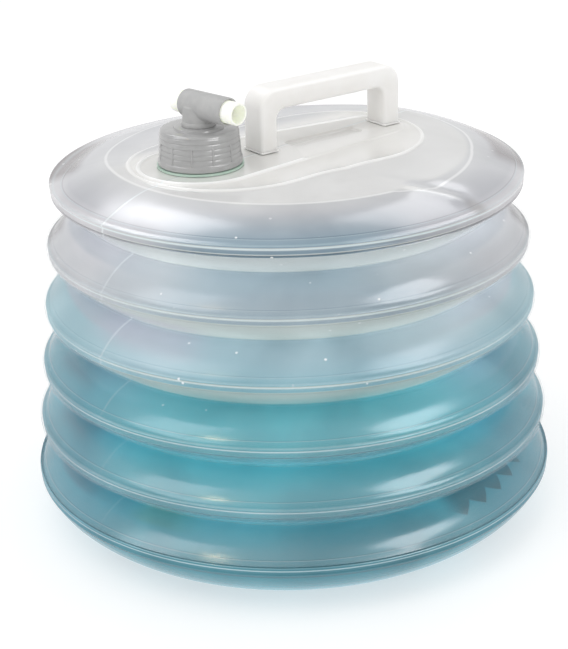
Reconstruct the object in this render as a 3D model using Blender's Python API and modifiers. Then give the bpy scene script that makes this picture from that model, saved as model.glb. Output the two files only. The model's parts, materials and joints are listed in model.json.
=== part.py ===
# Collapsible water carrier: a stack of lens-shaped ribs that folds flat, with a round
# deck, a carrying handle, a screw cap and a swivelling tee tap with a turning spout.
# Metres, +Z up. The origin is on the floor, on the axis of the ribs. The cap, the tap and
# the handle stand in a line along X, with the cap at -X.

import math

import bmesh
import bpy
from mathutils import Vector

# Fit between neighbouring pieces
GAP = 0.0003
OVERRUN = 0.004
MERGE = 0.00001

# Ribs, counted from the deck down
RIB_COUNT = 6
SHOULDER_WIDTH = 0.033
RIM_GROWTH = 0.00375
TOP_PITCH = 0.0368
PITCH_LOSS = 0.001
BASE_RIM_HEIGHT = 0.029
RIM_BAND_HEIGHT = 0.0055
RIM_CHAMFER = 0.001
VALLEY_DEPTH = 0.0215
WALL = 0.0012
WALL_BULGE = 0.0012

# Base pan
BASE_CURVE_REACH = 0.034
BASE_CURVE_POWER = 1.4
BASE_WALL = 0.0015
STANDING_RING_WIDTH = 0.014
PUSH_UP_WIDTH = 0.012
PUSH_UP_HEIGHT = 0.006

# Deck and shoulder
DECK_RISE = 0.0142
DECK_RADIUS = 0.102
DECK_WALL = 0.0016
OUTER_STEP_HEIGHT = 0.0007
OUTER_STEP_HALF_WIDTH = 0.0565
OUTER_STEP_CAP_INSET = 0.005
OUTER_STEP_HANDLE_INSET = 0.016
INNER_STEP_HEIGHT = 0.0005
INNER_STEP_HALF_WIDTH = 0.021
INNER_STEP_HANDLE_INSET = 0.018
CAP_PAD_RADIUS = 0.036
TROUGH_INSET = 0.023
TROUGH_WIDTH = 0.013
TROUGH_DEPTH = 0.0016
TROUGH_CORNER = 0.004

# Handle
CAP_TO_HANDLE = 0.0356
HANDLE_INSET = 0.0247
HANDLE_WIDTH = 0.0175
HANDLE_TOP = 0.0375
HANDLE_LEG = 0.0114
HANDLE_BAR = 0.0122
HANDLE_OUTER_CORNER = 0.011
HANDLE_INNER_CORNER = 0.006
HANDLE_EDGE = 0.0012
FOOT_FLANGE = 0.0012
FOOT_THICKNESS = 0.0018
SPIGOT_LENGTH = 0.007
SPIGOT_WIDTH = 0.011
SPIGOT_DROP = 0.0025

# Neck
CAP_INSET = 0.0437
NECK_BORE_RADIUS = 0.016
NECK_WALL = 0.002
NECK_HEIGHT = 0.0189
NECK_DROP = 0.0025
NECK_FLANGE_RADIUS = 0.0241
NECK_FLANGE = 0.0012
NECK_LIP = 0.0006

# Screw thread, a round bead on the neck and on the cap
THREAD_PITCH = 0.0038
THREAD_BEAD = 0.0009
THREAD_CLEARANCE = 0.0003
NECK_THREAD_TURNS = 3
CAP_THREAD_TURNS = 2
NECK_THREAD_START = 0.0026

# Cap
CAP_FLARE_RADIUS = 0.0234
CAP_FLARE_HEIGHT = 0.0036
CAP_FOOT_RADIUS = 0.0228
CAP_TOP_RADIUS = 0.0214
CAP_TOP_WALL = 0.0018
CAP_EDGE = 0.0013
CAP_STEP_COUNT = 5
CAP_STEP = 0.00035
CAP_BOSS_RADIUS = 0.0140
CAP_BOSS_HEIGHT = 0.0012
CAP_RIB_COUNT = 12
CAP_RIB_WIDTH = 0.0014
CAP_RIB_PROUD = 0.0005
GASKET_THICKNESS = 0.0015
GASKET_INNER_RADIUS = 0.0162

# Tap
TAP_YAW = math.radians(-80)
TAP_RISE = 0.0123
STEM_RADIUS = 0.0088
STEM_SPIGOT_RADIUS = 0.0055
STEM_BORE_RADIUS = 0.0034
SEAL_THICKNESS = 0.0010
CLIP_RADIUS = 0.0078
CLIP_THICKNESS = 0.0010
CLIP_GROOVE = 0.0009
CLIP_LAND = 0.0005
BARREL_RADIUS = 0.0077
BARREL_WALL = 0.0011
BARREL_SPOUT_END = 0.0238
BARREL_KNOB_END = 0.0092
BARREL_EDGE = 0.0006
BARREL_MOUTH_RADIUS = 0.0070
BARREL_MOUTH_DEPTH = 0.0020

# Valve tube that turns in the tap's barrel
TUBE_RADIUS = 0.0062
TUBE_SPOUT_END = 0.0313
TUBE_KNOB_END = 0.0167
TUBE_KNOB_ROUND = 0.0030
TUBE_LIP_ROUND = 0.0005
TUBE_BORE_RADIUS = 0.0050
TUBE_BORE_DEPTH = 0.0170
TUBE_WAY_RADIUS = 0.0034
TUBE_WAY_END = 0.0046
PORT_RADIUS = 0.0030
RING_GROOVE_DEPTH = 0.0010
RING_GROOVE_WIDTH = 0.0015
RING_SECTION_RADIUS = 0.00045
RING_SPOUT_PLACE = 0.0095
RING_KNOB_PLACE = 0.0066

# Turns
QUARTER_TURN = math.pi / 2
HALF_TURN = math.pi
SMOOTH_ANGLE = math.radians(35)

# Facets of the round pieces
RIB_STEPS = 40
FITTING_STEPS = 36
TUBE_STEPS = 28
RING_STEPS = 24
RING_SECTION_STEPS = 6
THREAD_STEPS = 24
CORNER_STEPS = 5
LONG_ARC_STEPS = 14
BASE_CURVE_STEPS = 6

# Places worked out from the sizes above: the handle fills what the cap leaves of the deck
TOP_RIM_RADIUS = DECK_RADIUS + SHOULDER_WIDTH
CAP_CENTRE = DECK_RADIUS - CAP_INSET
HANDLE_LENGTH = 2 * DECK_RADIUS - CAP_INSET - CAP_TO_HANDLE - HANDLE_INSET
HANDLE_CENTRE = DECK_RADIUS - HANDLE_INSET - HANDLE_LENGTH / 2
TROUGH_LENGTH = HANDLE_LENGTH - 2 * TROUGH_INSET
OUTER_STEP_CAP_END = DECK_RADIUS - OUTER_STEP_CAP_INSET
OUTER_STEP_HANDLE_END = DECK_RADIUS - OUTER_STEP_HANDLE_INSET
INNER_STEP_HANDLE_END = DECK_RADIUS - INNER_STEP_HANDLE_INSET
NECK_RADIUS = NECK_BORE_RADIUS + NECK_WALL
CAP_BORE_RADIUS = NECK_RADIUS + THREAD_BEAD + THREAD_CLEARANCE
BARREL_BORE_RADIUS = BARREL_RADIUS - BARREL_WALL
STEP_TOP = OUTER_STEP_HEIGHT + INNER_STEP_HEIGHT


def rim_radius(rib):
    return TOP_RIM_RADIUS + RIM_GROWTH * rib


def rim_height(rib):
    # Each pitch is a little shorter than the one above it
    pitches = [TOP_PITCH - PITCH_LOSS * k for k in range(rib, RIB_COUNT - 1)]
    return BASE_RIM_HEIGHT + sum(pitches)


def valley(rib):
    # The fold between a rib and the next one down: radius and height
    radius = (rim_radius(rib) + rim_radius(rib + 1)) / 2 - VALLEY_DEPTH
    height = (rim_height(rib) + rim_height(rib + 1)) / 2
    return radius, height


DECK_HEIGHT = rim_height(0) + DECK_RISE
FLANGE_TOP = DECK_HEIGHT + STEP_TOP + GAP + NECK_FLANGE
NECK_TOP = DECK_HEIGHT + NECK_HEIGHT
CAP_FOOT = FLANGE_TOP + GAP
GASKET_FOOT = NECK_TOP + GAP
CAP_CEILING = GASKET_FOOT + GASKET_THICKNESS + GAP
CAP_TOP = CAP_CEILING + CAP_TOP_WALL
BOSS_TOP = CAP_TOP + CAP_BOSS_HEIGHT
TAP_HEIGHT = CAP_TOP + TAP_RISE


def clear_scene():
    for obj in list(bpy.data.objects):
        bpy.data.objects.remove(obj, do_unlink=True)


def new_collection(name):
    collection = bpy.data.collections.new(name)
    bpy.context.scene.collection.children.link(collection)
    return collection


def new_material(name, colour, roughness, alpha=1.0):
    material = bpy.data.materials.new(name)
    material.use_nodes = True
    shader = material.node_tree.nodes["Principled BSDF"]
    shader.inputs["Base Color"].default_value = (*colour, 1.0)
    shader.inputs["Roughness"].default_value = roughness
    shader.inputs["Metallic"].default_value = 0.0
    shader.inputs["Alpha"].default_value = alpha
    return material


clear_scene()
PARTS = new_collection("collapsible_water_carrier")
CUTTERS = new_collection("cutters")

FROSTED = new_material("frosted_ldpe", (0.74, 0.77, 0.80), 0.30, 0.55)
WET_TEAL = new_material("frosted_ldpe_teal", (0.18, 0.50, 0.55), 0.28, 0.75)
MILKY = new_material("milky_polyethylene", (0.86, 0.86, 0.85), 0.45)
NECK_TINT = new_material("pale_green_polyethylene", (0.72, 0.82, 0.76), 0.35)
GREY_GLOSS = new_material("grey_polypropylene", (0.34, 0.34, 0.345), 0.35)
GREY_MATT = new_material("light_grey_polypropylene", (0.46, 0.46, 0.47), 0.50)
CREAM = new_material("cream_polypropylene", (0.84, 0.87, 0.72), 0.40)
RUBBER = new_material("black_rubber", (0.03, 0.03, 0.03), 0.75)
STEEL = new_material("spring_steel", (0.55, 0.55, 0.56), 0.35)


def add_empty(name, place, yaw=0.0, parent=None):
    empty = bpy.data.objects.new(name, None)
    PARTS.objects.link(empty)
    empty.parent = parent
    empty.location = place
    empty.rotation_euler = (0.0, 0.0, yaw)
    return empty


def add_object(name, mesh, material, parent=None, place=(0, 0, 0), turn=(0, 0, 0)):
    obj = bpy.data.objects.new(name, mesh)
    mesh.materials.append(material)
    PARTS.objects.link(obj)
    obj.parent = parent
    obj.location = place
    obj.rotation_euler = turn
    return obj


def as_cutter(obj):
    PARTS.objects.unlink(obj)
    CUTTERS.objects.link(obj)
    obj.hide_render = True
    obj.display_type = "WIRE"
    return obj


def combine(obj, tool, operation):
    as_cutter(tool)
    step = obj.modifiers.new(tool.name, "BOOLEAN")
    step.operation = operation
    step.object = tool
    step.solver = "EXACT"


def cut(obj, tool):
    combine(obj, tool, "DIFFERENCE")


def join(obj, tool):
    combine(obj, tool, "UNION")


def turned(name, profile, steps, material, parent=None, place=(0, 0, 0), turn=(0, 0, 0),
           closed=True):
    # profile is (radius, height) down the outer side and back up the inner one
    mesh = bpy.data.meshes.new(name)
    edges = [(i, i + 1) for i in range(len(profile) - 1)]
    if closed:
        edges.append((len(profile) - 1, 0))
    mesh.from_pydata([(r, 0.0, z) for r, z in profile], edges, [])
    obj = add_object(name, mesh, material, parent, place, turn)
    screw = obj.modifiers.new("turn", "SCREW")
    screw.axis = "Z"
    screw.steps = steps
    screw.render_steps = steps
    screw.use_merge_vertices = True
    screw.merge_threshold = MERGE
    screw.use_smooth_shade = False
    return obj


def curve_to_mesh_object(curve_object, name, material, parent, place, turn=(0, 0, 0)):
    # A filled curve made a mesh, with its loose caps welded, so that it can be cut
    bpy.context.view_layer.update()
    evaluated = curve_object.evaluated_get(bpy.context.evaluated_depsgraph_get())
    mesh = bpy.data.meshes.new_from_object(evaluated)
    bpy.data.objects.remove(curve_object, do_unlink=True)
    shape = bmesh.new()
    shape.from_mesh(mesh)
    bmesh.ops.remove_doubles(shape, verts=shape.verts, dist=MERGE)
    bmesh.ops.recalc_face_normals(shape, faces=shape.faces)
    shape.to_mesh(mesh)
    shape.free()
    mesh.name = name
    mesh.materials.clear()
    return add_object(name, mesh, material, parent, place, turn)


def extruded(name, outline, thickness, material, parent=None, place=(0, 0, 0),
             turn=(0, 0, 0), edge=0.0):
    # A flat outline in local XY, thickened evenly to both sides of its plane
    curve = bpy.data.curves.new(name + "_outline", "CURVE")
    curve.dimensions = "2D"
    curve.fill_mode = "BOTH"
    curve.extrude = thickness / 2 - edge
    curve.bevel_depth = edge
    curve.offset = -edge
    curve.bevel_resolution = 1
    spline = curve.splines.new("POLY")
    spline.points.add(len(outline) - 1)
    for point, (x, y) in zip(spline.points, outline):
        point.co = (x, y, 0.0, 1.0)
    spline.use_cyclic_u = True
    flat = bpy.data.objects.new(name + "_outline", curve)
    PARTS.objects.link(flat)
    return curve_to_mesh_object(flat, name, material, parent, place, turn)


def block(name, size, centre, material, parent=None):
    mesh = bpy.data.meshes.new(name)
    shape = bmesh.new()
    bmesh.ops.create_cube(shape, size=1.0)
    bmesh.ops.scale(shape, vec=Vector(size), verts=shape.verts)
    bmesh.ops.translate(shape, vec=Vector(centre), verts=shape.verts)
    shape.to_mesh(mesh)
    shape.free()
    return add_object(name, mesh, material, parent)


def rod(name, radius, low, high, steps, material, parent=None, place=(0, 0, 0),
        turn=(0, 0, 0)):
    return turned(name, [(0.0, high), (radius, high), (radius, low), (0.0, low)], steps,
                  material, parent, place, turn, closed=False)


def helix(name, radius, start, turns, material, phase=0.0):
    # A round bead that climbs one pitch a turn about local Z
    curve = bpy.data.curves.new(name + "_path", "CURVE")
    curve.dimensions = "3D"
    curve.bevel_depth = THREAD_BEAD
    curve.bevel_resolution = 1
    curve.use_fill_caps = True
    spline = curve.splines.new("POLY")
    count = turns * THREAD_STEPS + 1
    spline.points.add(count - 1)
    for i, point in enumerate(spline.points):
        angle = phase + math.tau * i / THREAD_STEPS
        height = start + THREAD_PITCH * i / THREAD_STEPS
        point.co = (radius * math.cos(angle), radius * math.sin(angle), height, 1.0)
    path = bpy.data.objects.new(name + "_path", curve)
    PARTS.objects.link(path)
    return curve_to_mesh_object(path, name, material, None, (0, 0, 0))


def arc(centre_x, centre_y, radius, start, end, steps):
    points = []
    for i in range(steps + 1):
        angle = start + (end - start) * i / steps
        points.append((centre_x + radius * math.cos(angle),
                       centre_y + radius * math.sin(angle)))
    return points


def stadium(low_x, high_x, half_width, steps):
    # A straight-sided outline with half-round ends
    return (arc(high_x - half_width, 0.0, half_width, -QUARTER_TURN, QUARTER_TURN, steps)
            + arc(low_x + half_width, 0.0, half_width, QUARTER_TURN,
                  HALF_TURN + QUARTER_TURN, steps))


def rounded_box(low_x, high_x, low_y, high_y, corner, steps):
    return (arc(high_x - corner, low_y + corner, corner, -QUARTER_TURN, 0.0, steps)
            + arc(high_x - corner, high_y - corner, corner, 0.0, QUARTER_TURN, steps)
            + arc(low_x + corner, high_y - corner, corner, QUARTER_TURN, HALF_TURN, steps)
            + arc(low_x + corner, low_y + corner, corner, HALF_TURN,
                  HALF_TURN + QUARTER_TURN, steps))


def wall_across(top, low):
    # Thickness of a sloping wall measured level
    slope = math.atan2(abs(top[1] - low[1]), abs(top[0] - low[0]))
    return WALL / math.sin(slope)


def wall_profile(top, low):
    # A conical wall with level ends, swelling outwards a little half way down
    across = wall_across(top, low)
    middle = ((top[0] + low[0]) / 2 + WALL_BULGE, (top[1] + low[1]) / 2)
    outer = [top, middle, low]
    return outer + [(r - across, z) for r, z in reversed(outer)]


def rim_inner_radius(rib):
    # The inside of the rim band lines up with the walls that meet it
    top = (rim_radius(rib) - RIM_CHAMFER, rim_height(rib) - RIM_BAND_HEIGHT / 2)
    return top[0] - wall_across(top, valley(min(rib, RIB_COUNT - 2)))


def add_rim(rib, material, parent):
    radius, middle = rim_radius(rib), 0.0
    half = RIM_BAND_HEIGHT / 2
    inner = rim_inner_radius(rib)
    profile = [(radius - RIM_CHAMFER, middle + half), (radius, middle + half - RIM_CHAMFER),
               (radius, middle - half + RIM_CHAMFER), (radius - RIM_CHAMFER, middle - half),
               (inner, middle - half), (inner, middle + half)]
    return turned(f"rib_{rib + 1}_rim", profile, RIB_STEPS, material, parent)


def add_lower_wall(rib, material, parent):
    # From the rim down to the fold below it
    own = rim_height(rib)
    radius, height = valley(rib)
    top = (rim_radius(rib) - RIM_CHAMFER, -RIM_BAND_HEIGHT / 2 - GAP)
    low = (radius, height + GAP / 2 - own)
    return turned(f"rib_{rib + 1}_lower_wall", wall_profile(top, low), RIB_STEPS, material,
                  parent)


def add_upper_wall(rib, material, parent):
    # From the fold above down to the rim
    own = rim_height(rib)
    radius, height = valley(rib - 1)
    top = (radius, height - GAP / 2 - own)
    low = (rim_radius(rib) - RIM_CHAMFER, RIM_BAND_HEIGHT / 2 + GAP)
    return turned(f"rib_{rib + 1}_upper_wall", wall_profile(top, low), RIB_STEPS, material,
                  parent)


def add_base_pan(material):
    rim = rim_radius(RIB_COUNT - 1) - RIM_CHAMFER
    top = BASE_RIM_HEIGHT - RIM_BAND_HEIGHT / 2 - GAP
    centre = rim - BASE_CURVE_REACH
    power = 2 / BASE_CURVE_POWER

    def side(inset):
        points = []
        for i in range(BASE_CURVE_STEPS + 1):
            angle = QUARTER_TURN * i / BASE_CURVE_STEPS
            out = (BASE_CURVE_REACH - inset) * math.cos(angle) ** power
            down = (top - inset) * math.sin(angle) ** power
            points.append((centre + max(out, 0.0), top - down))
        return points

    ring_end = centre - STANDING_RING_WIDTH
    floor_end = ring_end - PUSH_UP_WIDTH
    under = [(ring_end, 0.0), (floor_end, PUSH_UP_HEIGHT), (0.0, PUSH_UP_HEIGHT)]
    inside = [(r, z + BASE_WALL) for r, z in reversed(under)]
    profile = inside + list(reversed(side(BASE_WALL))) + side(0.0) + under
    return turned("base_pan", profile, RIB_STEPS, material, closed=False)


def add_shoulder(material, parent):
    # The upper wall of the top rib, from the deck's edge down to the rim
    drop = rim_height(0)
    top = (DECK_RADIUS + GAP, DECK_HEIGHT - drop)
    low = (rim_radius(0) - RIM_CHAMFER, RIM_BAND_HEIGHT / 2 + GAP)
    slope = math.atan2(top[1] - low[1], low[0] - top[0])
    middle = ((top[0] + low[0]) / 2, (top[1] + low[1]) / 2 + WALL_BULGE)
    down = WALL / math.cos(slope)
    across = WALL / math.sin(slope)
    profile = [top, middle, low, (low[0] - across, low[1]), (middle[0], middle[1] - down),
               (top[0], top[1] - down)]
    return turned("shoulder", profile, RIB_STEPS, material, parent)


def outer_step_outline(inset):
    return stadium(-OUTER_STEP_CAP_END + inset, OUTER_STEP_HANDLE_END - inset,
                   OUTER_STEP_HALF_WIDTH - inset, LONG_ARC_STEPS)


def inner_step_outline(inset):
    # A drop: a round pad under the cap whose sides run straight to the smaller round end
    pad, half = CAP_PAD_RADIUS - inset, INNER_STEP_HALF_WIDTH - inset
    end = INNER_STEP_HANDLE_END - inset - half
    side = math.acos((pad - half) / (end + CAP_CENTRE))
    return (arc(end, 0.0, half, -side, side, LONG_ARC_STEPS)
            + arc(-CAP_CENTRE, 0.0, pad, side, math.tau - side, LONG_ARC_STEPS))


def add_deck(material, parent):
    # A disc with two low steps; its underside follows its top at one wall's thickness
    base = DECK_HEIGHT - rim_height(0)
    deck = rod("deck", DECK_RADIUS, base - DECK_WALL, base, RIB_STEPS, material, parent)

    def layer(name, outline, low, high):
        return extruded(name, outline, high - low, material, parent,
                        (0.0, 0.0, base + (low + high) / 2))

    join(deck, layer("deck_outer_step", outer_step_outline(0.0), -DECK_WALL / 2,
                     OUTER_STEP_HEIGHT))
    join(deck, layer("deck_inner_step", inner_step_outline(0.0), -DECK_WALL / 3, STEP_TOP))
    cut(deck, rod("deck_neck_hole", NECK_RADIUS + GAP, base - OVERRUN, base + OVERRUN,
                  FITTING_STEPS, material, parent, (-CAP_CENTRE, 0.0, 0.0)))
    cut(deck, layer("deck_outer_hollow", outer_step_outline(DECK_WALL),
                    -DECK_WALL - OVERRUN, OUTER_STEP_HEIGHT - DECK_WALL))
    cut(deck, layer("deck_inner_hollow", inner_step_outline(DECK_WALL),
                    -DECK_WALL - OVERRUN, STEP_TOP - DECK_WALL))
    add_trough(deck, base, material, parent)
    for side in (-1, 1):
        centre = HANDLE_CENTRE + side * (HANDLE_LENGTH - HANDLE_LEG) / 2
        cut(deck, block(f"deck_slot_{side}",
                        (SPIGOT_LENGTH + 2 * GAP, SPIGOT_WIDTH + 2 * GAP, 2 * OVERRUN),
                        (centre, 0.0, base), material, parent))
    return deck


def add_trough(deck, base, material, parent):
    # A shallow round-cornered recess under the handle, as deep below as above
    def layer(name, grow, low, high):
        outline = rounded_box(HANDLE_CENTRE - TROUGH_LENGTH / 2 - grow,
                              HANDLE_CENTRE + TROUGH_LENGTH / 2 + grow,
                              -TROUGH_WIDTH / 2 - grow, TROUGH_WIDTH / 2 + grow,
                              TROUGH_CORNER + grow, CORNER_STEPS)
        return extruded(name, outline, high - low, material, parent,
                        (0.0, 0.0, base + (low + high) / 2))

    floor = STEP_TOP - TROUGH_DEPTH
    join(deck, layer("deck_trough_body", DECK_WALL, floor - DECK_WALL,
                     STEP_TOP - DECK_WALL / 2))
    cut(deck, layer("deck_trough_hollow", 0.0, floor, STEP_TOP + OVERRUN))


def add_neck(material, parent):
    foot = DECK_HEIGHT + STEP_TOP
    top = NECK_TOP - foot
    flange = GAP + NECK_FLANGE
    profile = [(NECK_RADIUS - NECK_LIP, top), (NECK_RADIUS, top - NECK_LIP),
               (NECK_RADIUS, flange), (NECK_FLANGE_RADIUS, flange),
               (NECK_FLANGE_RADIUS, GAP), (NECK_RADIUS, GAP),
               (NECK_RADIUS, -DECK_WALL - NECK_DROP),
               (NECK_BORE_RADIUS, -DECK_WALL - NECK_DROP), (NECK_BORE_RADIUS, top)]
    height = foot - rim_height(0)
    neck = turned("threaded_neck", profile, FITTING_STEPS, material, parent,
                  (-CAP_CENTRE, 0.0, height))
    bead = helix("neck_thread", NECK_RADIUS, flange + NECK_THREAD_START,
                 NECK_THREAD_TURNS, material)
    bead.parent = parent
    bead.location = neck.location
    join(neck, bead)
    return neck


def add_handle(material, parent):
    base = DECK_HEIGHT + STEP_TOP + GAP - rim_height(0)
    height = HANDLE_TOP - STEP_TOP - GAP
    half = HANDLE_LENGTH / 2
    inner_half = half - HANDLE_LEG
    outer_corner, inner_corner = HANDLE_OUTER_CORNER, HANDLE_INNER_CORNER
    opening = height - HANDLE_BAR
    foot = FOOT_THICKNESS / 2
    outline = ([(half, foot)]
               + arc(half - outer_corner, height - outer_corner, outer_corner, 0.0,
                     QUARTER_TURN, CORNER_STEPS)
               + arc(-half + outer_corner, height - outer_corner, outer_corner,
                     QUARTER_TURN, HALF_TURN, CORNER_STEPS)
               + [(-half, foot), (-inner_half, foot)]
               + arc(-inner_half + inner_corner, opening - inner_corner, inner_corner,
                     HALF_TURN, QUARTER_TURN, CORNER_STEPS)
               + arc(inner_half - inner_corner, opening - inner_corner, inner_corner,
                     QUARTER_TURN, 0.0, CORNER_STEPS)
               + [(inner_half, foot)])
    handle = extruded("carrying_handle", outline, HANDLE_WIDTH, material, parent,
                      (HANDLE_CENTRE, 0.0, base), (QUARTER_TURN, 0.0, 0.0), HANDLE_EDGE)
    for side in (-1, 1):
        centre = HANDLE_CENTRE + side * (half - HANDLE_LEG / 2)
        flange = (HANDLE_LEG + 2 * FOOT_FLANGE, HANDLE_WIDTH + 2 * FOOT_FLANGE,
                  FOOT_THICKNESS)
        join(handle, block(f"handle_flange_{side}", flange,
                           (centre, 0.0, base + FOOT_THICKNESS / 2), material, parent))
        drop = SPIGOT_DROP + DECK_WALL
        join(handle, block(f"handle_spigot_{side}",
                           (SPIGOT_LENGTH, SPIGOT_WIDTH, drop + 2 * FOOT_THICKNESS),
                           (centre, 0.0, base + FOOT_THICKNESS - drop / 2), material,
                           parent))
    return handle


def cap_side():
    # The outer side of the cap from its top edge down: steps that widen, then a flare
    points = [(CAP_TOP_RADIUS - CAP_EDGE, CAP_TOP), (CAP_TOP_RADIUS, CAP_TOP - CAP_EDGE)]
    foot = CAP_FOOT + CAP_FLARE_HEIGHT
    top = CAP_TOP - CAP_EDGE
    for i in range(1, CAP_STEP_COUNT):
        share = i / CAP_STEP_COUNT
        radius = CAP_TOP_RADIUS + (CAP_FOOT_RADIUS - CAP_STEP - CAP_TOP_RADIUS) * share
        height = top + (foot - top) * share
        points += [(radius, height), (radius + CAP_STEP, height - CAP_STEP)]
    points += [(CAP_FOOT_RADIUS, foot), (CAP_FLARE_RADIUS, foot - CAP_STEP),
               (CAP_FLARE_RADIUS, CAP_FOOT)]
    return points


def add_cap(material, parent):
    # Heights are the carrier's own, so the cap's mesh is lowered to its parent
    recess = CLIP_RADIUS + GAP
    hole = STEM_SPIGOT_RADIUS + GAP
    recess_top = BOSS_TOP - CAP_TOP_WALL
    profile = ([(hole, BOSS_TOP), (CAP_BOSS_RADIUS - CAP_STEP, BOSS_TOP),
                (CAP_BOSS_RADIUS, BOSS_TOP - CAP_STEP), (CAP_BOSS_RADIUS, CAP_TOP)]
               + cap_side()
               + [(CAP_BORE_RADIUS, CAP_FOOT), (CAP_BORE_RADIUS, CAP_CEILING),
                  (recess, CAP_CEILING), (recess, recess_top), (hole, recess_top)])
    cap = turned("screw_cap", profile, FITTING_STEPS, material, parent,
                 (0.0, 0.0, -CAP_FOOT))
    bead = helix("cap_thread", CAP_BORE_RADIUS,
                 FLANGE_TOP + NECK_THREAD_START + THREAD_PITCH / 2, CAP_THREAD_TURNS,
                 material)
    bead.parent = parent
    bead.location = cap.location
    join(cap, bead)
    low = CAP_FOOT + CAP_FLARE_HEIGHT / 2
    high = CAP_TOP - 2 * CAP_EDGE
    for i in range(CAP_RIB_COUNT):
        rib = block(f"cap_rib_{i + 1}",
                    (CAP_FOOT_RADIUS + CAP_RIB_PROUD - CAP_BORE_RADIUS - CAP_EDGE,
                     CAP_RIB_WIDTH, high - low),
                    ((CAP_FOOT_RADIUS + CAP_RIB_PROUD + CAP_BORE_RADIUS + CAP_EDGE) / 2,
                     0.0, (low + high) / 2), material, parent)
        rib.location = cap.location
        rib.rotation_euler = (0.0, 0.0, math.tau * (i + 0.5) / CAP_RIB_COUNT)
        join(cap, rib)
    return cap


def add_gasket(material, parent):
    outer = CAP_BORE_RADIUS - GAP
    top = GASKET_FOOT + GASKET_THICKNESS
    profile = [(outer, top), (outer, GASKET_FOOT), (GASKET_INNER_RADIUS, GASKET_FOOT),
               (GASKET_INNER_RADIUS, top)]
    return turned("cap_gasket", profile, FITTING_STEPS, material, parent,
                  (0.0, 0.0, -CAP_FOOT))


def add_tap_body(material, parent):
    # A stem that stands in the cap, with a barrel across its top; local X is the spout's way
    drop = TAP_HEIGHT
    shoulder = BOSS_TOP + GAP + SEAL_THICKNESS + GAP - drop
    foot = BOSS_TOP - CAP_TOP_WALL - GAP - CLIP_THICKNESS - CLIP_LAND - drop
    clip_low = foot + CLIP_LAND - GAP
    clip_high = foot + CLIP_LAND + CLIP_THICKNESS
    groove = STEM_SPIGOT_RADIUS - CLIP_GROOVE
    profile = [(0.0, 0.0), (STEM_RADIUS, 0.0), (STEM_RADIUS, shoulder),
               (STEM_SPIGOT_RADIUS, shoulder), (STEM_SPIGOT_RADIUS, clip_high),
               (groove, clip_high), (groove, clip_low), (STEM_SPIGOT_RADIUS, clip_low),
               (STEM_SPIGOT_RADIUS, foot), (0.0, foot)]
    tap = turned("tap_body", profile, TUBE_STEPS, material, parent, closed=False)
    across = (0.0, QUARTER_TURN, 0.0)
    barrel = turned("tap_barrel", [
        (0.0, BARREL_SPOUT_END), (BARREL_RADIUS - BARREL_EDGE, BARREL_SPOUT_END),
        (BARREL_RADIUS, BARREL_SPOUT_END - BARREL_EDGE),
        (BARREL_RADIUS, -BARREL_KNOB_END + BARREL_EDGE),
        (BARREL_RADIUS - BARREL_EDGE, -BARREL_KNOB_END), (0.0, -BARREL_KNOB_END)],
        TUBE_STEPS, material, parent, turn=across, closed=False)
    join(tap, barrel)
    cut(tap, rod("tap_bore", BARREL_BORE_RADIUS, -BARREL_KNOB_END - OVERRUN,
                 BARREL_SPOUT_END + OVERRUN, TUBE_STEPS, material, parent, turn=across))
    cut(tap, rod("tap_mouth", BARREL_MOUTH_RADIUS, BARREL_SPOUT_END - BARREL_MOUTH_DEPTH,
                 BARREL_SPOUT_END + OVERRUN, TUBE_STEPS, material, parent, turn=across))
    cut(tap, rod("tap_way", STEM_BORE_RADIUS, foot - OVERRUN, 0.0, RING_STEPS, material,
                 parent))
    return tap


def add_stem_seal(material, parent):
    foot = BOSS_TOP + GAP - TAP_HEIGHT
    inner = STEM_SPIGOT_RADIUS + GAP
    profile = [(STEM_RADIUS, foot + SEAL_THICKNESS), (STEM_RADIUS, foot), (inner, foot),
               (inner, foot + SEAL_THICKNESS)]
    return turned("stem_seal", profile, RING_STEPS, material, parent)


def add_stem_clip(material, parent):
    # An open ring that snaps into the stem's groove under the cap
    top = BOSS_TOP - CAP_TOP_WALL - GAP - TAP_HEIGHT
    inner = STEM_SPIGOT_RADIUS - CLIP_GROOVE + GAP
    profile = [(CLIP_RADIUS, top), (CLIP_RADIUS, top - CLIP_THICKNESS + GAP),
               (inner, top - CLIP_THICKNESS + GAP), (inner, top)]
    clip = turned("stem_clip", profile, RING_STEPS, material, parent)
    cut(clip, block("clip_opening", (CLIP_RADIUS + OVERRUN, inner, 2 * OVERRUN),
                    (-(CLIP_RADIUS + OVERRUN) / 2, 0.0, top), material, parent))
    return clip


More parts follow.
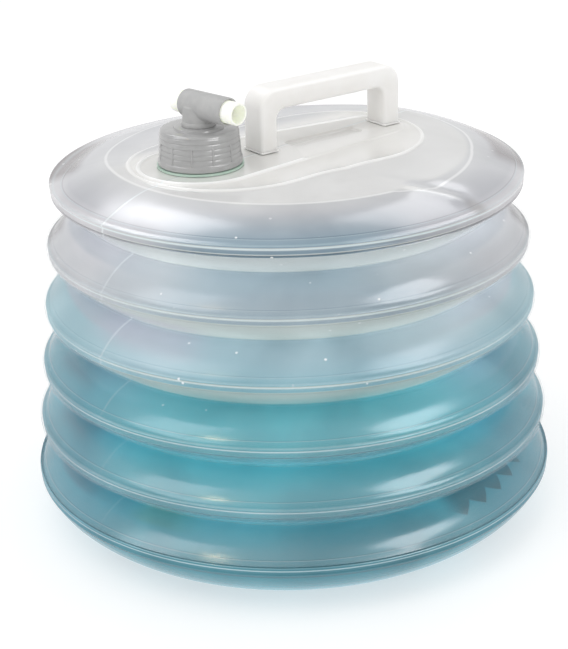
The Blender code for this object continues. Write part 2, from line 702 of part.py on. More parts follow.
def add_valve_tube(material, parent):
    # Open at the spout, closed and rounded at the knob, with a port in its side
    groove = TUBE_RADIUS - RING_GROOVE_DEPTH
    half = RING_GROOVE_WIDTH / 2
    profile = [(TUBE_BORE_RADIUS, TUBE_SPOUT_END),
               (TUBE_RADIUS - TUBE_LIP_ROUND, TUBE_SPOUT_END),
               (TUBE_RADIUS, TUBE_SPOUT_END - TUBE_LIP_ROUND)]
    for place in (RING_SPOUT_PLACE, -RING_KNOB_PLACE):
        profile += [(TUBE_RADIUS, place + half), (groove, place + half),
                    (groove, place - half), (TUBE_RADIUS, place - half)]
    round_centre = -TUBE_KNOB_END + TUBE_KNOB_ROUND
    profile += [(TUBE_RADIUS - TUBE_KNOB_ROUND + x, round_centre - y) for x, y in
                arc(0.0, 0.0, TUBE_KNOB_ROUND, 0.0, QUARTER_TURN, CORNER_STEPS)]
    profile += [(0.0, -TUBE_KNOB_END), (0.0, -TUBE_WAY_END),
                (TUBE_WAY_RADIUS, -TUBE_WAY_END),
                (TUBE_WAY_RADIUS, TUBE_SPOUT_END - TUBE_BORE_DEPTH),
                (TUBE_BORE_RADIUS, TUBE_SPOUT_END - TUBE_BORE_DEPTH)]
    tube = turned("valve_tube", profile, TUBE_STEPS, material, parent)
    cut(tube, rod("valve_port", PORT_RADIUS, 0.0, TUBE_RADIUS + OVERRUN, RING_STEPS,
                  material, parent, turn=(-QUARTER_TURN, 0.0, 0.0)))
    return tube


def add_valve_ring(name, place, material, parent):
    centre = (BARREL_BORE_RADIUS + TUBE_RADIUS - RING_GROOVE_DEPTH) / 2
    profile = list(reversed([(centre + x, place + y) for x, y in
                             arc(0.0, 0.0, RING_SECTION_RADIUS, 0.0, math.tau,
                                 RING_SECTION_STEPS)[:-1]]))
    return turned(name, profile, RING_STEPS, material, parent)


def add_bellows(top_axis):
    # Returns the empties that carry the ribs, so each has its origin at its rim
    base_axis = add_empty("rib_6_axis", (0.0, 0.0, rim_height(RIB_COUNT - 1)))
    add_base_pan(WET_TEAL)
    add_rim(RIB_COUNT - 1, WET_TEAL, base_axis)
    add_upper_wall(RIB_COUNT - 1, WET_TEAL, base_axis)
    for rib in range(RIB_COUNT - 2, 0, -1):
        material = WET_TEAL if rib >= RIB_COUNT / 2 else FROSTED
        axis = add_empty(f"rib_{rib + 1}_axis", (0.0, 0.0, rim_height(rib)))
        add_lower_wall(rib, material, axis)
        add_rim(rib, material, axis)
        add_upper_wall(rib, material, axis)
    add_lower_wall(0, FROSTED, top_axis)
    add_rim(0, FROSTED, top_axis)


def shade(obj):
    obj.data.shade_smooth()
    obj.data.set_sharp_from_angle(angle=SMOOTH_ANGLE)


def main():
    top_axis = add_empty("collapse_axis", (0.0, 0.0, rim_height(0)))
    add_bellows(top_axis)
    add_shoulder(FROSTED, top_axis)
    add_deck(FROSTED, top_axis)
    add_neck(NECK_TINT, top_axis)
    add_handle(MILKY, top_axis)
    cap_axis = add_empty("cap_axis", (-CAP_CENTRE, 0.0, CAP_FOOT))
    add_gasket(RUBBER, cap_axis)
    add_cap(GREY_GLOSS, cap_axis)
    tap_axis = add_empty("tap_axis", (-CAP_CENTRE, 0.0, TAP_HEIGHT), TAP_YAW)
    add_tap_body(GREY_MATT, tap_axis)
    add_stem_seal(RUBBER, tap_axis)
    add_stem_clip(STEEL, tap_axis)
    valve_axis = add_empty("valve_axis", (0.0, 0.0, 0.0), parent=tap_axis)
    valve_axis.rotation_euler = (0.0, QUARTER_TURN, 0.0)
    add_valve_tube(CREAM, valve_axis)
    add_valve_ring("valve_ring_spout", RING_SPOUT_PLACE, RUBBER, valve_axis)
    add_valve_ring("valve_ring_knob", -RING_KNOB_PLACE, RUBBER, valve_axis)
    for obj in PARTS.objects:
        if obj.type == "MESH":
            shade(obj)


main()
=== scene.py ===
import bpy
import json
import math
from functools import partial
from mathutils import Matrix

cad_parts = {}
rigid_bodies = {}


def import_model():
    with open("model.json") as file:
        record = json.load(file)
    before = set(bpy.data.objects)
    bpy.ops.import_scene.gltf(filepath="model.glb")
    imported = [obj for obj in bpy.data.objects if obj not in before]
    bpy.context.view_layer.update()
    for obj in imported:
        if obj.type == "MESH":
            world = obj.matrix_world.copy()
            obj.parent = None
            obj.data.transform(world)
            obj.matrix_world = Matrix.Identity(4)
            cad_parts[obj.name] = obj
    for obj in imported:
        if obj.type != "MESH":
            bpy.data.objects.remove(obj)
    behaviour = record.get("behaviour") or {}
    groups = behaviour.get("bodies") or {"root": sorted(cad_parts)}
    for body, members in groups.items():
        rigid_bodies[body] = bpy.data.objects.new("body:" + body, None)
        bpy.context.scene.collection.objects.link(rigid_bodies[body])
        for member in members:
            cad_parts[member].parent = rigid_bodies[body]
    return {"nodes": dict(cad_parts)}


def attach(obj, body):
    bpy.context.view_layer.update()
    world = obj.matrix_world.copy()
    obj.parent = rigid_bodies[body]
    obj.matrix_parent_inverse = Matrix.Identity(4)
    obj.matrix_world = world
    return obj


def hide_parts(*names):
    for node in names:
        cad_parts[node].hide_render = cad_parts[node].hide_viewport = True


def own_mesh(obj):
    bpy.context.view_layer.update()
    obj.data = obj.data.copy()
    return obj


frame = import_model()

from types import SimpleNamespace
from mathutils import Matrix, Vector

mm = 0.001
quarter = math.pi / 2
fullTurn = 4 * quarter
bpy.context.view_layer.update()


# small tools: selecting, edit mode and finishing a piece

def deselectAll():
    if bpy.context.object and bpy.context.object.mode == "EDIT":
        bpy.ops.object.mode_set(mode="OBJECT")
    for obj in bpy.data.objects:
        obj.select_set(False)


def pick(obj):
    deselectAll()
    obj.select_set(True)
    bpy.context.view_layer.objects.active = obj


def objectMode():
    bpy.ops.object.mode_set(mode="OBJECT")


def modify(obj, kind, **settings):
    # adds one modifier with its settings and applies it
    modifier = obj.modifiers.new(kind, kind)
    for key, value in settings.items():
        setattr(modifier, key, value)
    pick(obj)
    bpy.ops.object.modifier_apply(modifier=modifier.name)


def smooth(obj, degrees):
    pick(obj)
    bpy.ops.object.shade_smooth_by_angle(angle=math.radians(degrees))
    return obj


def selectOnly(obj, kind, wanted):
    # leaves the piece in edit mode with only the wanted vertices or polygons selected, given by number
    pick(obj)
    bpy.ops.object.mode_set(mode="EDIT")
    bpy.ops.mesh.select_mode(type="VERT" if kind == "vertices" else "FACE")
    bpy.ops.mesh.select_all(action="DESELECT")
    objectMode()
    for k in wanted:
        getattr(obj.data, kind)[k].select = True
    bpy.ops.object.mode_set(mode="EDIT")


def weld(obj, reach):
    selectOnly(obj, "vertices", ())
    bpy.ops.mesh.select_all(action="SELECT")
    bpy.ops.mesh.remove_doubles(threshold=reach * mm)
    bpy.ops.mesh.normals_make_consistent(inside=False)
    objectMode()
    return obj


def named(name):
    # the object that was just added gets its name
    obj = bpy.context.object
    obj.name = obj.data.name = name
    return obj


def oneVertex(name, place):
    # a plane merged to its centre is the first point of a profile
    deselectAll()
    bpy.ops.mesh.primitive_plane_add(size=2 * mm)
    obj = named(name)
    bpy.ops.object.mode_set(mode="EDIT")
    bpy.ops.mesh.select_mode(type="VERT")
    bpy.ops.mesh.select_all(action="SELECT")
    bpy.ops.mesh.merge(type="CENTER")
    bpy.ops.transform.translate(value=place)
    return obj


def drawOn(places):
    # extrudes the selected point from place to place
    for here, there in zip(places, places[1:]):
        bpy.ops.mesh.extrude_region_move(TRANSFORM_OT_translate={"value": there - here})
    bpy.ops.mesh.select_all(action="SELECT")


def turned(name, points, steps, closed=False):
    # a profile of (radius, height) in mm, drawn point by point and spun round Z
    places = [Vector((r * mm, 0, z * mm)) for r, z in points]
    obj = oneVertex(name, places[0])
    drawOn(places + places[:1] if closed else places)
    bpy.ops.mesh.spin(steps=steps, angle=fullTurn, center=(0, 0, 0), axis=(0, 0, 1))
    objectMode()
    return weld(obj, 0.004)


def boolean(obj, tool, operation):
    modify(obj, "BOOLEAN", operation=operation, object=tool, solver="EXACT")
    bpy.data.objects.remove(tool, do_unlink=True)


def bevelEdges(obj, width, segments, degrees):
    modify(obj, "BEVEL", width=width * mm, segments=segments, limit_method="ANGLE",
           angle_limit=math.radians(degrees))


def joinPieces(obj, others):
    deselectAll()
    for other in [*others, obj]:
        other.select_set(True)
    bpy.context.view_layer.objects.active = obj
    bpy.ops.object.join()


def boxPiece(name, size, centre, edge):
    # a box with soft edges; its place goes into the mesh, so that patterns read it there
    deselectAll()
    bpy.ops.mesh.primitive_cube_add(size=1, location=[v * mm for v in centre])
    obj = named(name)
    obj.scale = [v * mm for v in size]
    pick(obj)
    bpy.ops.object.transform_apply(location=True, rotation=True, scale=True)
    bevelEdges(obj, edge, 2, 40)
    return obj


def moved(x, y, z):
    return Matrix.Translation((x * mm, y * mm, z * mm))


# colour and node helpers

smoothly = {"interpolation_type": "SMOOTHSTEP"}


def colour(code):
    # an sRGB hex value as the linear colour that the nodes use
    values = [int(code[k:k + 2], 16) / 255 for k in (1, 3, 5)]
    return tuple(v / 12.92 if v <= 0.04045 else ((v + 0.055) / 1.055) ** 2.4 for v in values) + (1,)


def fill(tree, node, settings):
    # each key is a socket, by name or number, or else a property; a node stands for its first live output
    for key, value in settings.items():
        if isinstance(value, bpy.types.Node):
            value = next(socket for socket in value.outputs if socket.enabled)
        if isinstance(value, bpy.types.NodeSocket):
            tree.links.new(value, node.inputs[key])
        elif isinstance(key, int) or key in node.inputs:
            node.inputs[key].default_value = colour(value) if isinstance(value, str) else value
        else:
            setattr(node, key, value)


def addNode(tree, kind, settings=None, stops=()):
    # adds a node with its settings and links; stops are a ramp's places and values
    node = tree.nodes.new("ShaderNode" + kind)
    fill(tree, node, settings or {})
    if stops:
        elements = node.color_ramp.elements
        while len(elements) < len(stops):
            elements.new(0.5)
        for element, (place, value) in zip(elements, stops):
            element.position = place
            element.color = colour(value) if isinstance(value, str) else (value, value, value, 1)
    return node


def newMaterial(name, settings):
    material = bpy.data.materials.new(name)
    material.use_nodes = True
    tree = material.node_tree
    shader = tree.nodes["Principled BSDF"]
    fill(tree, shader, settings)
    return material, tree, shader


def clouded(name, settings, cloud, stops, bump=None, grain=None, gloss=None):
    # two tones in a slow cloud by the piece's own place, with low relief from the cloud or from a finer grain
    material, tree, shader = newMaterial(name, settings)
    add = partial(addNode, tree)
    place = add("TexCoord").outputs["Object"]
    clouds = add("TexNoise", {"Vector": place, "Scale": cloud[0], "Detail": cloud[1]})
    fill(tree, shader, {"Base Color": add("ValToRGB", {0: clouds}, stops)})
    if bump:
        fine = add("TexNoise", {"Vector": place, "Scale": grain, "Detail": 2.0}) if grain else clouds
        relief = add("Bump", {"Height": fine, "Strength": bump[0], "Distance": bump[1]})
        fill(tree, shader, {"Normal": relief})
    if gloss:
        dullness = add("MapRange", {"Value": clouds, "From Min": 0.3, "From Max": 0.7, "To Min": gloss[0],
                                    "To Max": gloss[1], **smoothly})
        fill(tree, shader, {"Roughness": dullness})
    return material


# container: a blow-moulded bellows in three pieces, cut where it folds

container = {
    "rims": [(135.0, 203.0), (138.75, 166.2), (142.5, 130.4), (146.25, 95.6), (150.0, 61.8), (153.75, 29.0)],
    # the rim's band: a bead above, a shallow hollow and a blunt lower lip; walls start bandDepth inside it
    "band": [(-1.0, 2.75), (-0.35, 2.72), (0.15, 2.35), (0.28, 1.85), (0.1, 1.35), (-0.3, 0.95), (-0.4, 0.2),
             (-0.4, -0.7), (-0.15, -1.2), (0.0, -1.7), (-0.2, -2.25), (-1.0, -2.75)],
    "bandHalf": 2.75, "bandDepth": 1.0,
    "valleyDepth": 21.5, "crook": (0.55, 0.75),
    "upperBulge": 2.1, "lowerBulge": 0.7, "wallSteps": 9, "turnSteps": 168,
    "shoulderBulge": 1.6, "shoulderSteps": 20, "topSteps": 224,
    "wall": 1.1,
    "deckRadius": 102.0, "deckHeight": 217.2, "capCentre": -58.3,
    "travel": 126.0,
}


def bandPoints(radius, height):
    return [(radius + r, height + z) for r, z in container["band"]]


def bandEnd(rim, side):
    # where a wall meets the rim's band: above it (1) or below it (-1)
    return rim[0] - container["bandDepth"], rim[1] + side * container["bandHalf"]


def wallPoints(top, low, bulge, steps):
    # a wall that swells out between its ends, without the end points
    along = Vector((low[0], 0, low[1])) - Vector((top[0], 0, top[1]))
    out = Vector((-along.z, 0, along.x)).normalized()
    if out.x < 0:
        out = -out
    points = []
    for k in range(1, steps):
        share = k / steps
        here = Vector((top[0], 0, top[1])) + along * share + out * bulge * 4 * share * (1 - share)
        points.append((here.x, here.z))
    return points


def foldPoints(upper, lower):
    # from one rim's band in to the fold and out again to the next band
    spec = container
    radius = (upper[0] + lower[0]) / 2 - spec["valleyDepth"]
    height = (upper[1] + lower[1]) / 2
    out, up = spec["crook"]
    crook = [(radius + out, height + up), (radius, height), (radius + out, height - up)]
    return (wallPoints(bandEnd(upper, -1), crook[0], spec["lowerBulge"], spec["wallSteps"]) + crook
            + wallPoints(crook[2], bandEnd(lower, 1), spec["upperBulge"], spec["wallSteps"]))


def makeBellows():
    rims = container["rims"]
    points = [bandEnd(rims[0], -1)]
    for upper, lower in zip(rims, rims[1:]):
        points += foldPoints(upper, lower)
        points += [bandEnd(lower, 1)] if lower is rims[-1] else bandPoints(*lower)
    return turned("foldingRibs", points, container["turnSteps"])


baseSizes = {"centre": 118.75, "reach": 34.0, "power": 1.4, "steps": 12, "standing": 14.0,
             "standingEdge": (1.5, 0.25), "pushUpWidth": 12.0, "pushUpHeight": 6.0, "pushUpSteps": 5,
             "floor": [(60.0, 6.2), (20.0, 6.4), (0.0, 6.4)]}


def makeBase():
    # the lowest band, a full round side, the standing ring, and a floor pushed up inside it
    spec = baseSizes
    rim = container["rims"][-1]
    points = bandPoints(*rim)
    top = bandEnd(rim, -1)[1]
    for k in range(1, spec["steps"] + 1):
        angle = quarter * k / spec["steps"]
        out = spec["reach"] * max(math.cos(angle), 0) ** (2 / spec["power"])
        down = top * math.sin(angle) ** (2 / spec["power"])
        points.append((spec["centre"] + out, top - down))
    ringEnd = spec["centre"] - spec["standing"]
    floorEnd = ringEnd - spec["pushUpWidth"]
    edge, lift = spec["standingEdge"]
    points += [(ringEnd + edge, 0.0), (ringEnd, lift)]
    for k in range(1, spec["pushUpSteps"]):
        share = k / spec["pushUpSteps"]
        rise = spec["pushUpHeight"] * (3 * share ** 2 - 2 * share ** 3)
        points.append((ringEnd + (floorEnd - ringEnd) * share, rise))
    points += [(floorEnd, spec["pushUpHeight"])] + spec["floor"]
    return turned("containerBase", points, container["turnSteps"])


def outlineByLength(points, count, start):
    # the outline walked in equal steps, from the place nearest to start
    places = [Vector(p) for p in points]
    first = min(range(len(places)), key=lambda k: (places[k] - Vector(start)).length)
    loop = places[first:] + places[:first + 1]
    lengths = [(b - a).length for a, b in zip(loop, loop[1:])]
    step = sum(lengths) / count
    found = []
    travelled = 0.0
    k = 0
    for n in range(count):
        target = n * step
        while k < len(lengths) - 1 and travelled + lengths[k] < target:
            travelled += lengths[k]
            k += 1
        share = (target - travelled) / lengths[k] if lengths[k] else 0
        found.append(loop[k].lerp(loop[k + 1], share))
    return found


def arcPoints(x, y, radius, start, end, steps):
    return [(x + radius * math.cos(start + (end - start) * k / steps),
             y + radius * math.sin(start + (end - start) * k / steps)) for k in range(steps + 1)]


def circlePoints(x, radius, count):
    return arcPoints(x, 0, radius, 0, fullTurn, count)[:-1]


deck = {
    "rings": (1.5, 5.0, 9.0),
    # waists: how far the sides draw in, where, and over what half length; between them the two cancel out
    "outer": {"capEnd": -97.0, "handleEnd": 86.0, "half": 56.5, "waists": ((1.6, -15, 14), (0.96, 12, 16))},
    "inner": {"pad": 36.0, "handleEnd": 81.5, "half": 21.0},
    "trough": {"low": 1.5, "high": 53.0, "half": 7.2, "corner": 5.0},
    # each profile: how far inside its outline, and how high over the deck
    "outerProfile": [(-0.9, 0.0), (-0.2, 0.15), (0.4, 0.95), (1.1, 1.15), (1.8, 0.95), (2.5, 0.7)],
    "innerProfile": [(-0.8, 0.7), (-0.1, 0.9), (0.5, 1.75), (1.3, 2.05), (2.1, 1.85), (2.8, 1.35),
                     (3.5, 1.2)],
    "troughProfile": [(0.0, 1.2), (0.7, 1.0), (1.2, 0.2), (1.8, -0.25), (2.4, -0.4)],
    "outerCrest": 0.9, "innerCrest": 1.7, "terraces": (0.7, 1.2), "fadeStart": -9.0, "fadeLength": 4.0,
    "hole": 18.4, "loop": 224, "smallLoop": 96,
}


def outerOutline(inset):
    # a long round form that draws in a little between the cap and the handle
    spec = deck["outer"]
    half = spec["half"] - inset
    low, high = spec["capEnd"] + inset + half, spec["handleEnd"] - inset - half
    outline = (arcPoints(high, 0, half, -quarter, quarter, 60)
               + [(x, half) for x in range(int(high) - 2, int(low) + 1, -3)]
               + arcPoints(low, 0, half, quarter, 3 * quarter, 60)
               + [(x, -half) for x in range(int(low) + 2, int(high), 3)])
    shaped = []
    for x, y in outline:
        first, second = (size * math.exp(-((x - at) / reach) ** 2) for size, at, reach in spec["waists"])
        shaped.append((x, y - math.copysign(first - second, y) * min(abs(y) / half, 1) ** 3))
    return shaped


def innerOutline(inset):
    # a drop: a round pad under the cap, its sides running straight to a smaller round end
    spec = deck["inner"]
    pad, half = spec["pad"] - inset, spec["half"] - inset
    capX = container["capCentre"]
    high = spec["handleEnd"] - inset - half
    side = math.acos((pad - half) / (high - capX))
    ends = [Vector((x + radius * math.cos(side), radius * math.sin(side)))
            for x, radius in ((high, half), (capX, pad))]
    run = [tuple(ends[0].lerp(ends[1], k / 40)) for k in range(1, 40)]
    return (arcPoints(high, 0, half, -side, side, 50) + run
            + arcPoints(capX, 0, pad, side, fullTurn - side, 90) + [(x, -y) for x, y in reversed(run)])


def troughOutline(inset):
    # a long box with round corners, between the handle's feet
    spec = deck["trough"]
    corner = max(spec["corner"] - inset, 1.0)
    low, high = spec["low"] + inset + corner, spec["high"] - inset - corner
    side = spec["half"] - inset - corner
    outline = []
    for k, (x, y) in enumerate(((high, -side), (high, side), (low, side), (low, -side))):
        outline += arcPoints(x, y, corner, (k - 1) * quarter, k * quarter, 10)
    return outline


def addLoop(obj, outline, height, count, start):
    # a circle in edit mode, its points moved onto the outline
    before = len(obj.data.vertices)
    bpy.ops.object.mode_set(mode="EDIT")
    bpy.ops.mesh.select_all(action="DESELECT")
    bpy.ops.mesh.primitive_circle_add(vertices=count, radius=10 * mm, fill_type="NOTHING")
    objectMode()
    for k, place in enumerate(outlineByLength(outline, count, start)):
        obj.data.vertices[before + k].co = (place.x * mm, place.y * mm, height * mm)
    return list(range(before, before + count))


def nextLoop(obj, loop, outline, height, start):
    # the loop is extruded and its copy is moved onto the next outline, point by point
    selectLoops(obj, loop)
    bpy.ops.mesh.select_mode(type="EDGE")
    bpy.ops.mesh.extrude_region_move()
    objectMode()
    order = {tuple(round(v, 7) for v in obj.data.vertices[k].co): n for n, k in enumerate(loop)}
    places = outlineByLength(outline, len(loop), start)
    made = [0] * len(loop)
    for vertex in obj.data.vertices:
        if vertex.select and vertex.index not in loop:
            n = order[tuple(round(v, 7) for v in vertex.co)]
            made[n] = vertex.index
            vertex.co = (places[n].x * mm, places[n].y * mm, height * mm)
    return made


def selectLoops(obj, *loops):
    selectOnly(obj, "vertices", [k for loop in loops for k in loop])


def makeDeck():
    spec = deck
    height, radius, capX = (container[key] for key in ("deckHeight", "deckRadius", "capCentre"))
    deselectAll()
    bpy.ops.mesh.primitive_circle_add(vertices=3, radius=1 * mm)
    obj = named("deckTop")
    selectOnly(obj, "vertices", range(3))
    bpy.ops.mesh.delete(type="VERT")
    objectMode()
    loop = addLoop(obj, circlePoints(0, radius, spec["loop"]), height, spec["loop"], (radius, 0))
    for inset in spec["rings"]:
        loop = nextLoop(obj, loop, circlePoints(0, radius - inset, spec["loop"]), height, (radius - inset, 0))
    crests = {}
    for inset, rise in spec["outerProfile"]:
        loop = nextLoop(obj, loop, outerOutline(inset), height + rise, (spec["outer"]["handleEnd"], 0))
        crests.update((k, 0.5) for k in loop if rise > spec["outerCrest"])
    fadeStart, fadeLength = spec["fadeStart"] * mm, spec["fadeLength"] * mm
    for inset, rise in spec["innerProfile"]:
        loop = nextLoop(obj, loop, innerOutline(inset), height + rise, (spec["inner"]["handleEnd"], 0))
        # the ridge fades into a plain step along one side of the handle
        plain = min(max(rise, spec["terraces"][0]), spec["terraces"][1])
        for k in loop:
            place = obj.data.vertices[k].co
            crests[k] = 0.6 if rise > spec["innerCrest"] and (place.y > 0 or place.x < fadeStart) else 0.0
            if place.y < 0 and place.x > fadeStart:
                left = max(0.0, 1 - (place.x - fadeStart) / fadeLength)
                place.z = (height + plain + (rise - plain) * left) * mm
    start = (spec["trough"]["high"], 0)
    (inset, rise), *deeper = spec["troughProfile"]
    edge = trough = addLoop(obj, troughOutline(inset), height + rise, spec["smallLoop"], start)
    for inset, rise in deeper:
        trough = nextLoop(obj, trough, troughOutline(inset), height + rise, start)
        crests.update((k, -1.0) for k in trough)
    selectLoops(obj, trough)
    bpy.ops.mesh.edge_face_add()
    objectMode()
    circle = circlePoints(capX, spec["hole"], spec["smallLoop"])
    hole = addLoop(obj, circle, height + spec["terraces"][1], spec["smallLoop"], (capX + spec["hole"], 0))
    selectLoops(obj, loop, edge, hole)
    bpy.ops.mesh.select_mode(type="EDGE")
    bpy.ops.mesh.fill(use_beauty=True)
    objectMode()
    # the material paints a highlight on the ridges and shade in the trough by this attribute
    ridge = obj.data.attributes.new("ridge", "FLOAT", "POINT")
    for k, value in crests.items():
        ridge.data[k].value = value
    return obj


bellowsLook = {
    # heights in mm all through, up to top: the water's teal ends in the third rib from the top
    "top": 222.0,
    "outside": [(0, "#468796"), (28, "#468896"), (50, "#4294a2"), (88, "#3d9aa6"), (102, "#3b9dab"),
                (113, "#52a9b8"), (124, "#79b4c2"), (136, "#9dbcc8"), (150, "#a8bbc5"), (168, "#aab5bd"),
                (182, "#b0b7be"), (199, "#b4b8bd"), (206, "#b9bac0"), (214, "#c2c3c7"), (216.8, "#cbccce"),
                (217.1, "#e5e4e1")],
    # painted light: the tone of the faces that look down, paler than the walls that look up
    "under": [(0, "#3f8595"), (88, "#4793a1"), (98, "#62a3aa"), (106, "#8fb5b4"), (116, "#b2c1bc"),
              (150, "#c7cdc6"), (200, "#d0d5d3")],
    # painted light: the paler tone along the rims at the sides
    "sidePaintedLight": [(106, "#478b9e"), (123, "#80b3c0"), (142, "#97bcc6"), (162, "#cccacd"), (200, "#d1cfd2"),
                 (204, "#dddbdd"), (209, "#e2e0e2")],
    "sideDeep": [(30, "#457c8c"), (70, "#458b9d"), (104, "#4a93a6"), (120, "#96afbe"), (160, "#b5b8c0"),
                 (200, "#bebec4"), (204, "#d4d2d6"), (209, "#dfdddf")],
    # painted shade at the front, by height
    "frontShadeBand": [(118, 0.0), (165, 0.5), (206, 0.86), (211, 0.5), (215.5, 0.0)],
    # painted light: the folds' glow by height
    "glow": [(60, 0.5), (88, 0.5), (104, 0.3), (125, 0.26), (160, 0.45)],
    "seeThrough": [(0, 0.995), (112, 0.99), (140, 0.95), (175, 0.92), (216, 0.96)],
    # painted shade and painted highlight: lines along each rim, by the height above its middle, as far as
    # rimReach to both sides
    "rimShade": [(-4.2, 0.5), (-3.3, 0.12), (-2.5, 0.3), (0.2, 0.36), (1.1, 0.5), (1.65, 0.24), (2.2, 0.44),
                 (3.4, 0.5)],
    "rimShine": [(0.1, 0.0), (0.7, 0.55), (1.1, 0.45), (1.5, 0.0), (2.1, 0.0), (2.6, 0.2), (3.1, 0.0)],
    "rimReach": 5.0,
    # the rims' radius in metres, as a line by the height in metres
    "rimSlope": -0.1078, "rimFoot": 0.1569,
    # the front's angle, the tone of its painted shade, and the seam's angle
    "frontAngle": 36.04, "frontShadeTone": "#7893a2", "seamAngle": -8.0,
    # angles from the front where each begins, is full and ends; heights in metres where it rises and falls
    "patchesAndSheen": [((-1.4, -1.2, -0.88), ((0.039, 0.041), (0.116, 0.108)), 0.42, "#4f5f70"),
                ((-1.05, -0.8, -0.3), ((0.128, 0.134), (0.175, 0.15)), 0.38, "#a8a1b3"),
                ((-0.74, -0.62, -0.36), ((0.0395, 0.0415), (0.049, 0.046)), 0.45, "#4a8379"),
                # the last one: a pale zone on the right of the clear ribs, painted sheen
                ((0.15, 0.5, 1.4), ((0.126, 0.14), (0.203, 0.196)), 0.23, "#e0e7e9")],
}

dents = {
    # a crease runs down the shoulder at the front right and ends in a dent: angles from the front, radii
    "start": (36.5, 103.0), "end": (47.5, 126.0), "dent": (49.0, 131.5),
    "ridge": 1.2, "ridgeHalf": 4.2, "hollow": 0.9, "hollowAt": 9.5, "hollowHalf": 5.0,
    # the deck's +Y side hangs a little
    "sag": 4.0, "sagStart": 22.0, "sagEnd": 95.0,
}


def frontPlace(angle, radius):
    # a place on the plan, by its angle from the front (positive to the right) and its radius in mm
    turn = math.radians(angle - bellowsLook["frontAngle"]) - quarter
    return Vector((radius * math.cos(turn), radius * math.sin(turn)))


def eased(value, low, high):
    share = max(0.0, min(1.0, (value - low) / (high - low)))
    return share * share * (3 - 2 * share)


def dentTop(obj):
    spec = dents
    start, end = frontPlace(*spec["start"]), frontPlace(*spec["end"])
    along = (end - start).normalized()
    length = (end - start).length
    for vertex in obj.data.vertices:
        place = Vector((vertex.co.x, vertex.co.y)) / mm
        height = vertex.co.z / mm
        walked = (place - start).dot(along)
        across = (place - start).dot(Vector((-along.y, along.x)))
        taper = eased(walked, -3, 6) * eased(walked, length + 5, length - 6) * eased(height, 203, 206)
        rise = spec["ridge"] * math.exp(-(across / spec["ridgeHalf"]) ** 2)
        fall = spec["hollow"] * math.exp(-((across - spec["hollowAt"]) / spec["hollowHalf"]) ** 2)
        sag = spec["sag"] * eased(place.y, spec["sagStart"], spec["sagEnd"]) * eased(height, 203, 212)
        vertex.co.z += ((rise - fall) * taper - sag) * mm


def makeShoulder():
    spec = container
    start, end = (spec["deckRadius"], spec["deckHeight"]), bandEnd(spec["rims"][0], 1)
    wall = wallPoints(start, end, spec["shoulderBulge"], spec["shoulderSteps"])
    return turned("containerTop", [start] + wall + bandPoints(*spec["rims"][0]), spec["topSteps"])


def makeContainerTop():
    plate = makeDeck()
    top = makeShoulder()
    joinPieces(top, [plate])
    weld(top, 0.01)
    # every face of the deck and the shoulder looks up
    floor = (container["rims"][0][1] + 3.2) * mm
    downward = [face.index for face in top.data.polygons if face.center.z > floor and face.normal.z < 0]
    selectOnly(top, "polygons", downward)
    bpy.ops.mesh.flip_normals()
    objectMode()
    dentTop(top)
    return top


print("container: ribs, base and top")
foldingRibs = makeBellows()
containerBase = makeBase()
containerTop = makeContainerTop()


def byHeight(stops):
    # a ramp's stops from heights in mm, as the ramps read the height as a share of the look's top
    return [(z / bellowsLook["top"], value) for z, value in stops]


def placesOnWall(add):
    # what the wall's looks go by: height, plan radius, angle from the front, and depth behind the rims
    look = bellowsLook
    toFront, toRight = frontPlace(0, 1), frontPlace(90, 1)
    place = add("Attribute", {"attribute_name": "restPlace", "attribute_type": "GEOMETRY"}).outputs["Vector"]
    z = add("SeparateXYZ", {0: place}).outputs["Z"]
    flat = add("VectorMath", {"operation": "MULTIPLY", 0: place, 1: (1, 1, 0)})
    radius = add("VectorMath", {"operation": "LENGTH", 0: flat})
    ahead = add("VectorMath", {"operation": "DOT_PRODUCT", 0: place, 1: (*toFront, 0)})
    across = add("VectorMath", {"operation": "DOT_PRODUCT", 0: place, 1: (*toRight, 0)})
    facingFront = add("Math", {"operation": "DIVIDE", 0: ahead, 1: radius})
    front = add("MapRange", {"Value": facingFront, "From Min": 0.82, "From Max": 0.985, **smoothly})
    cloud = add("TexNoise", {"Vector": place, "Scale": 9.0, "Detail": 2.0, "Roughness": 0.45})
    # the water's line is wavy and reads a little higher at the front
    wave = add("Math", {"operation": "MULTIPLY_ADD", 0: cloud, 1: 0.016, 2: -0.008})
    height = add("Math", {"operation": "ADD", 0: z, 1: wave})
    height = add("Math", {"operation": "MULTIPLY_ADD", 0: front, 1: -0.007, 2: height})
    share = add("Math", {"operation": "DIVIDE", 0: height, 1: look["top"] * mm})
    exact = add("Math", {"operation": "DIVIDE", 0: z, 1: look["top"] * mm})
    # the deck and the shoulder keep their exact height, the ribs below take the wave
    deckward = add("MapRange", {"Value": z, "From Min": 0.196, "From Max": 0.203})
    level = add("Mix", {"data_type": "FLOAT", 0: deckward, 2: share, 3: exact})
    rimThere = add("Math", {"operation": "MULTIPLY_ADD", 0: z, 1: look["rimSlope"], 2: look["rimFoot"]})
    depth = add("Math", {"operation": "SUBTRACT", 0: rimThere, 1: radius})
    uneven = add("Math", {"operation": "MULTIPLY_ADD", 0: cloud, 1: 0.008, 2: -0.004})
    return SimpleNamespace(
        place=place, z=z, flat=flat, radius=radius, facingFront=facingFront, front=front, share=share,
        exact=exact, level=level, depth=depth,
        depthWave=add("Math", {"operation": "ADD", 0: depth, 1: uneven}),
        azimuth=add("Math", {"operation": "ARCTAN2", 0: across, 1: ahead}),
        shoulderward=add("MapRange", {"Value": z, "From Min": 0.2035, "From Max": 0.205}),
        patches=add("TexNoise", {
            "Vector": place, "Scale": 14.0, "Detail": 3.0, "Roughness": 0.5, "Distortion": 0.6}),
        ridge=add("Attribute", {"attribute_name": "ridge", "attribute_type": "GEOMETRY"}).outputs["Fac"])


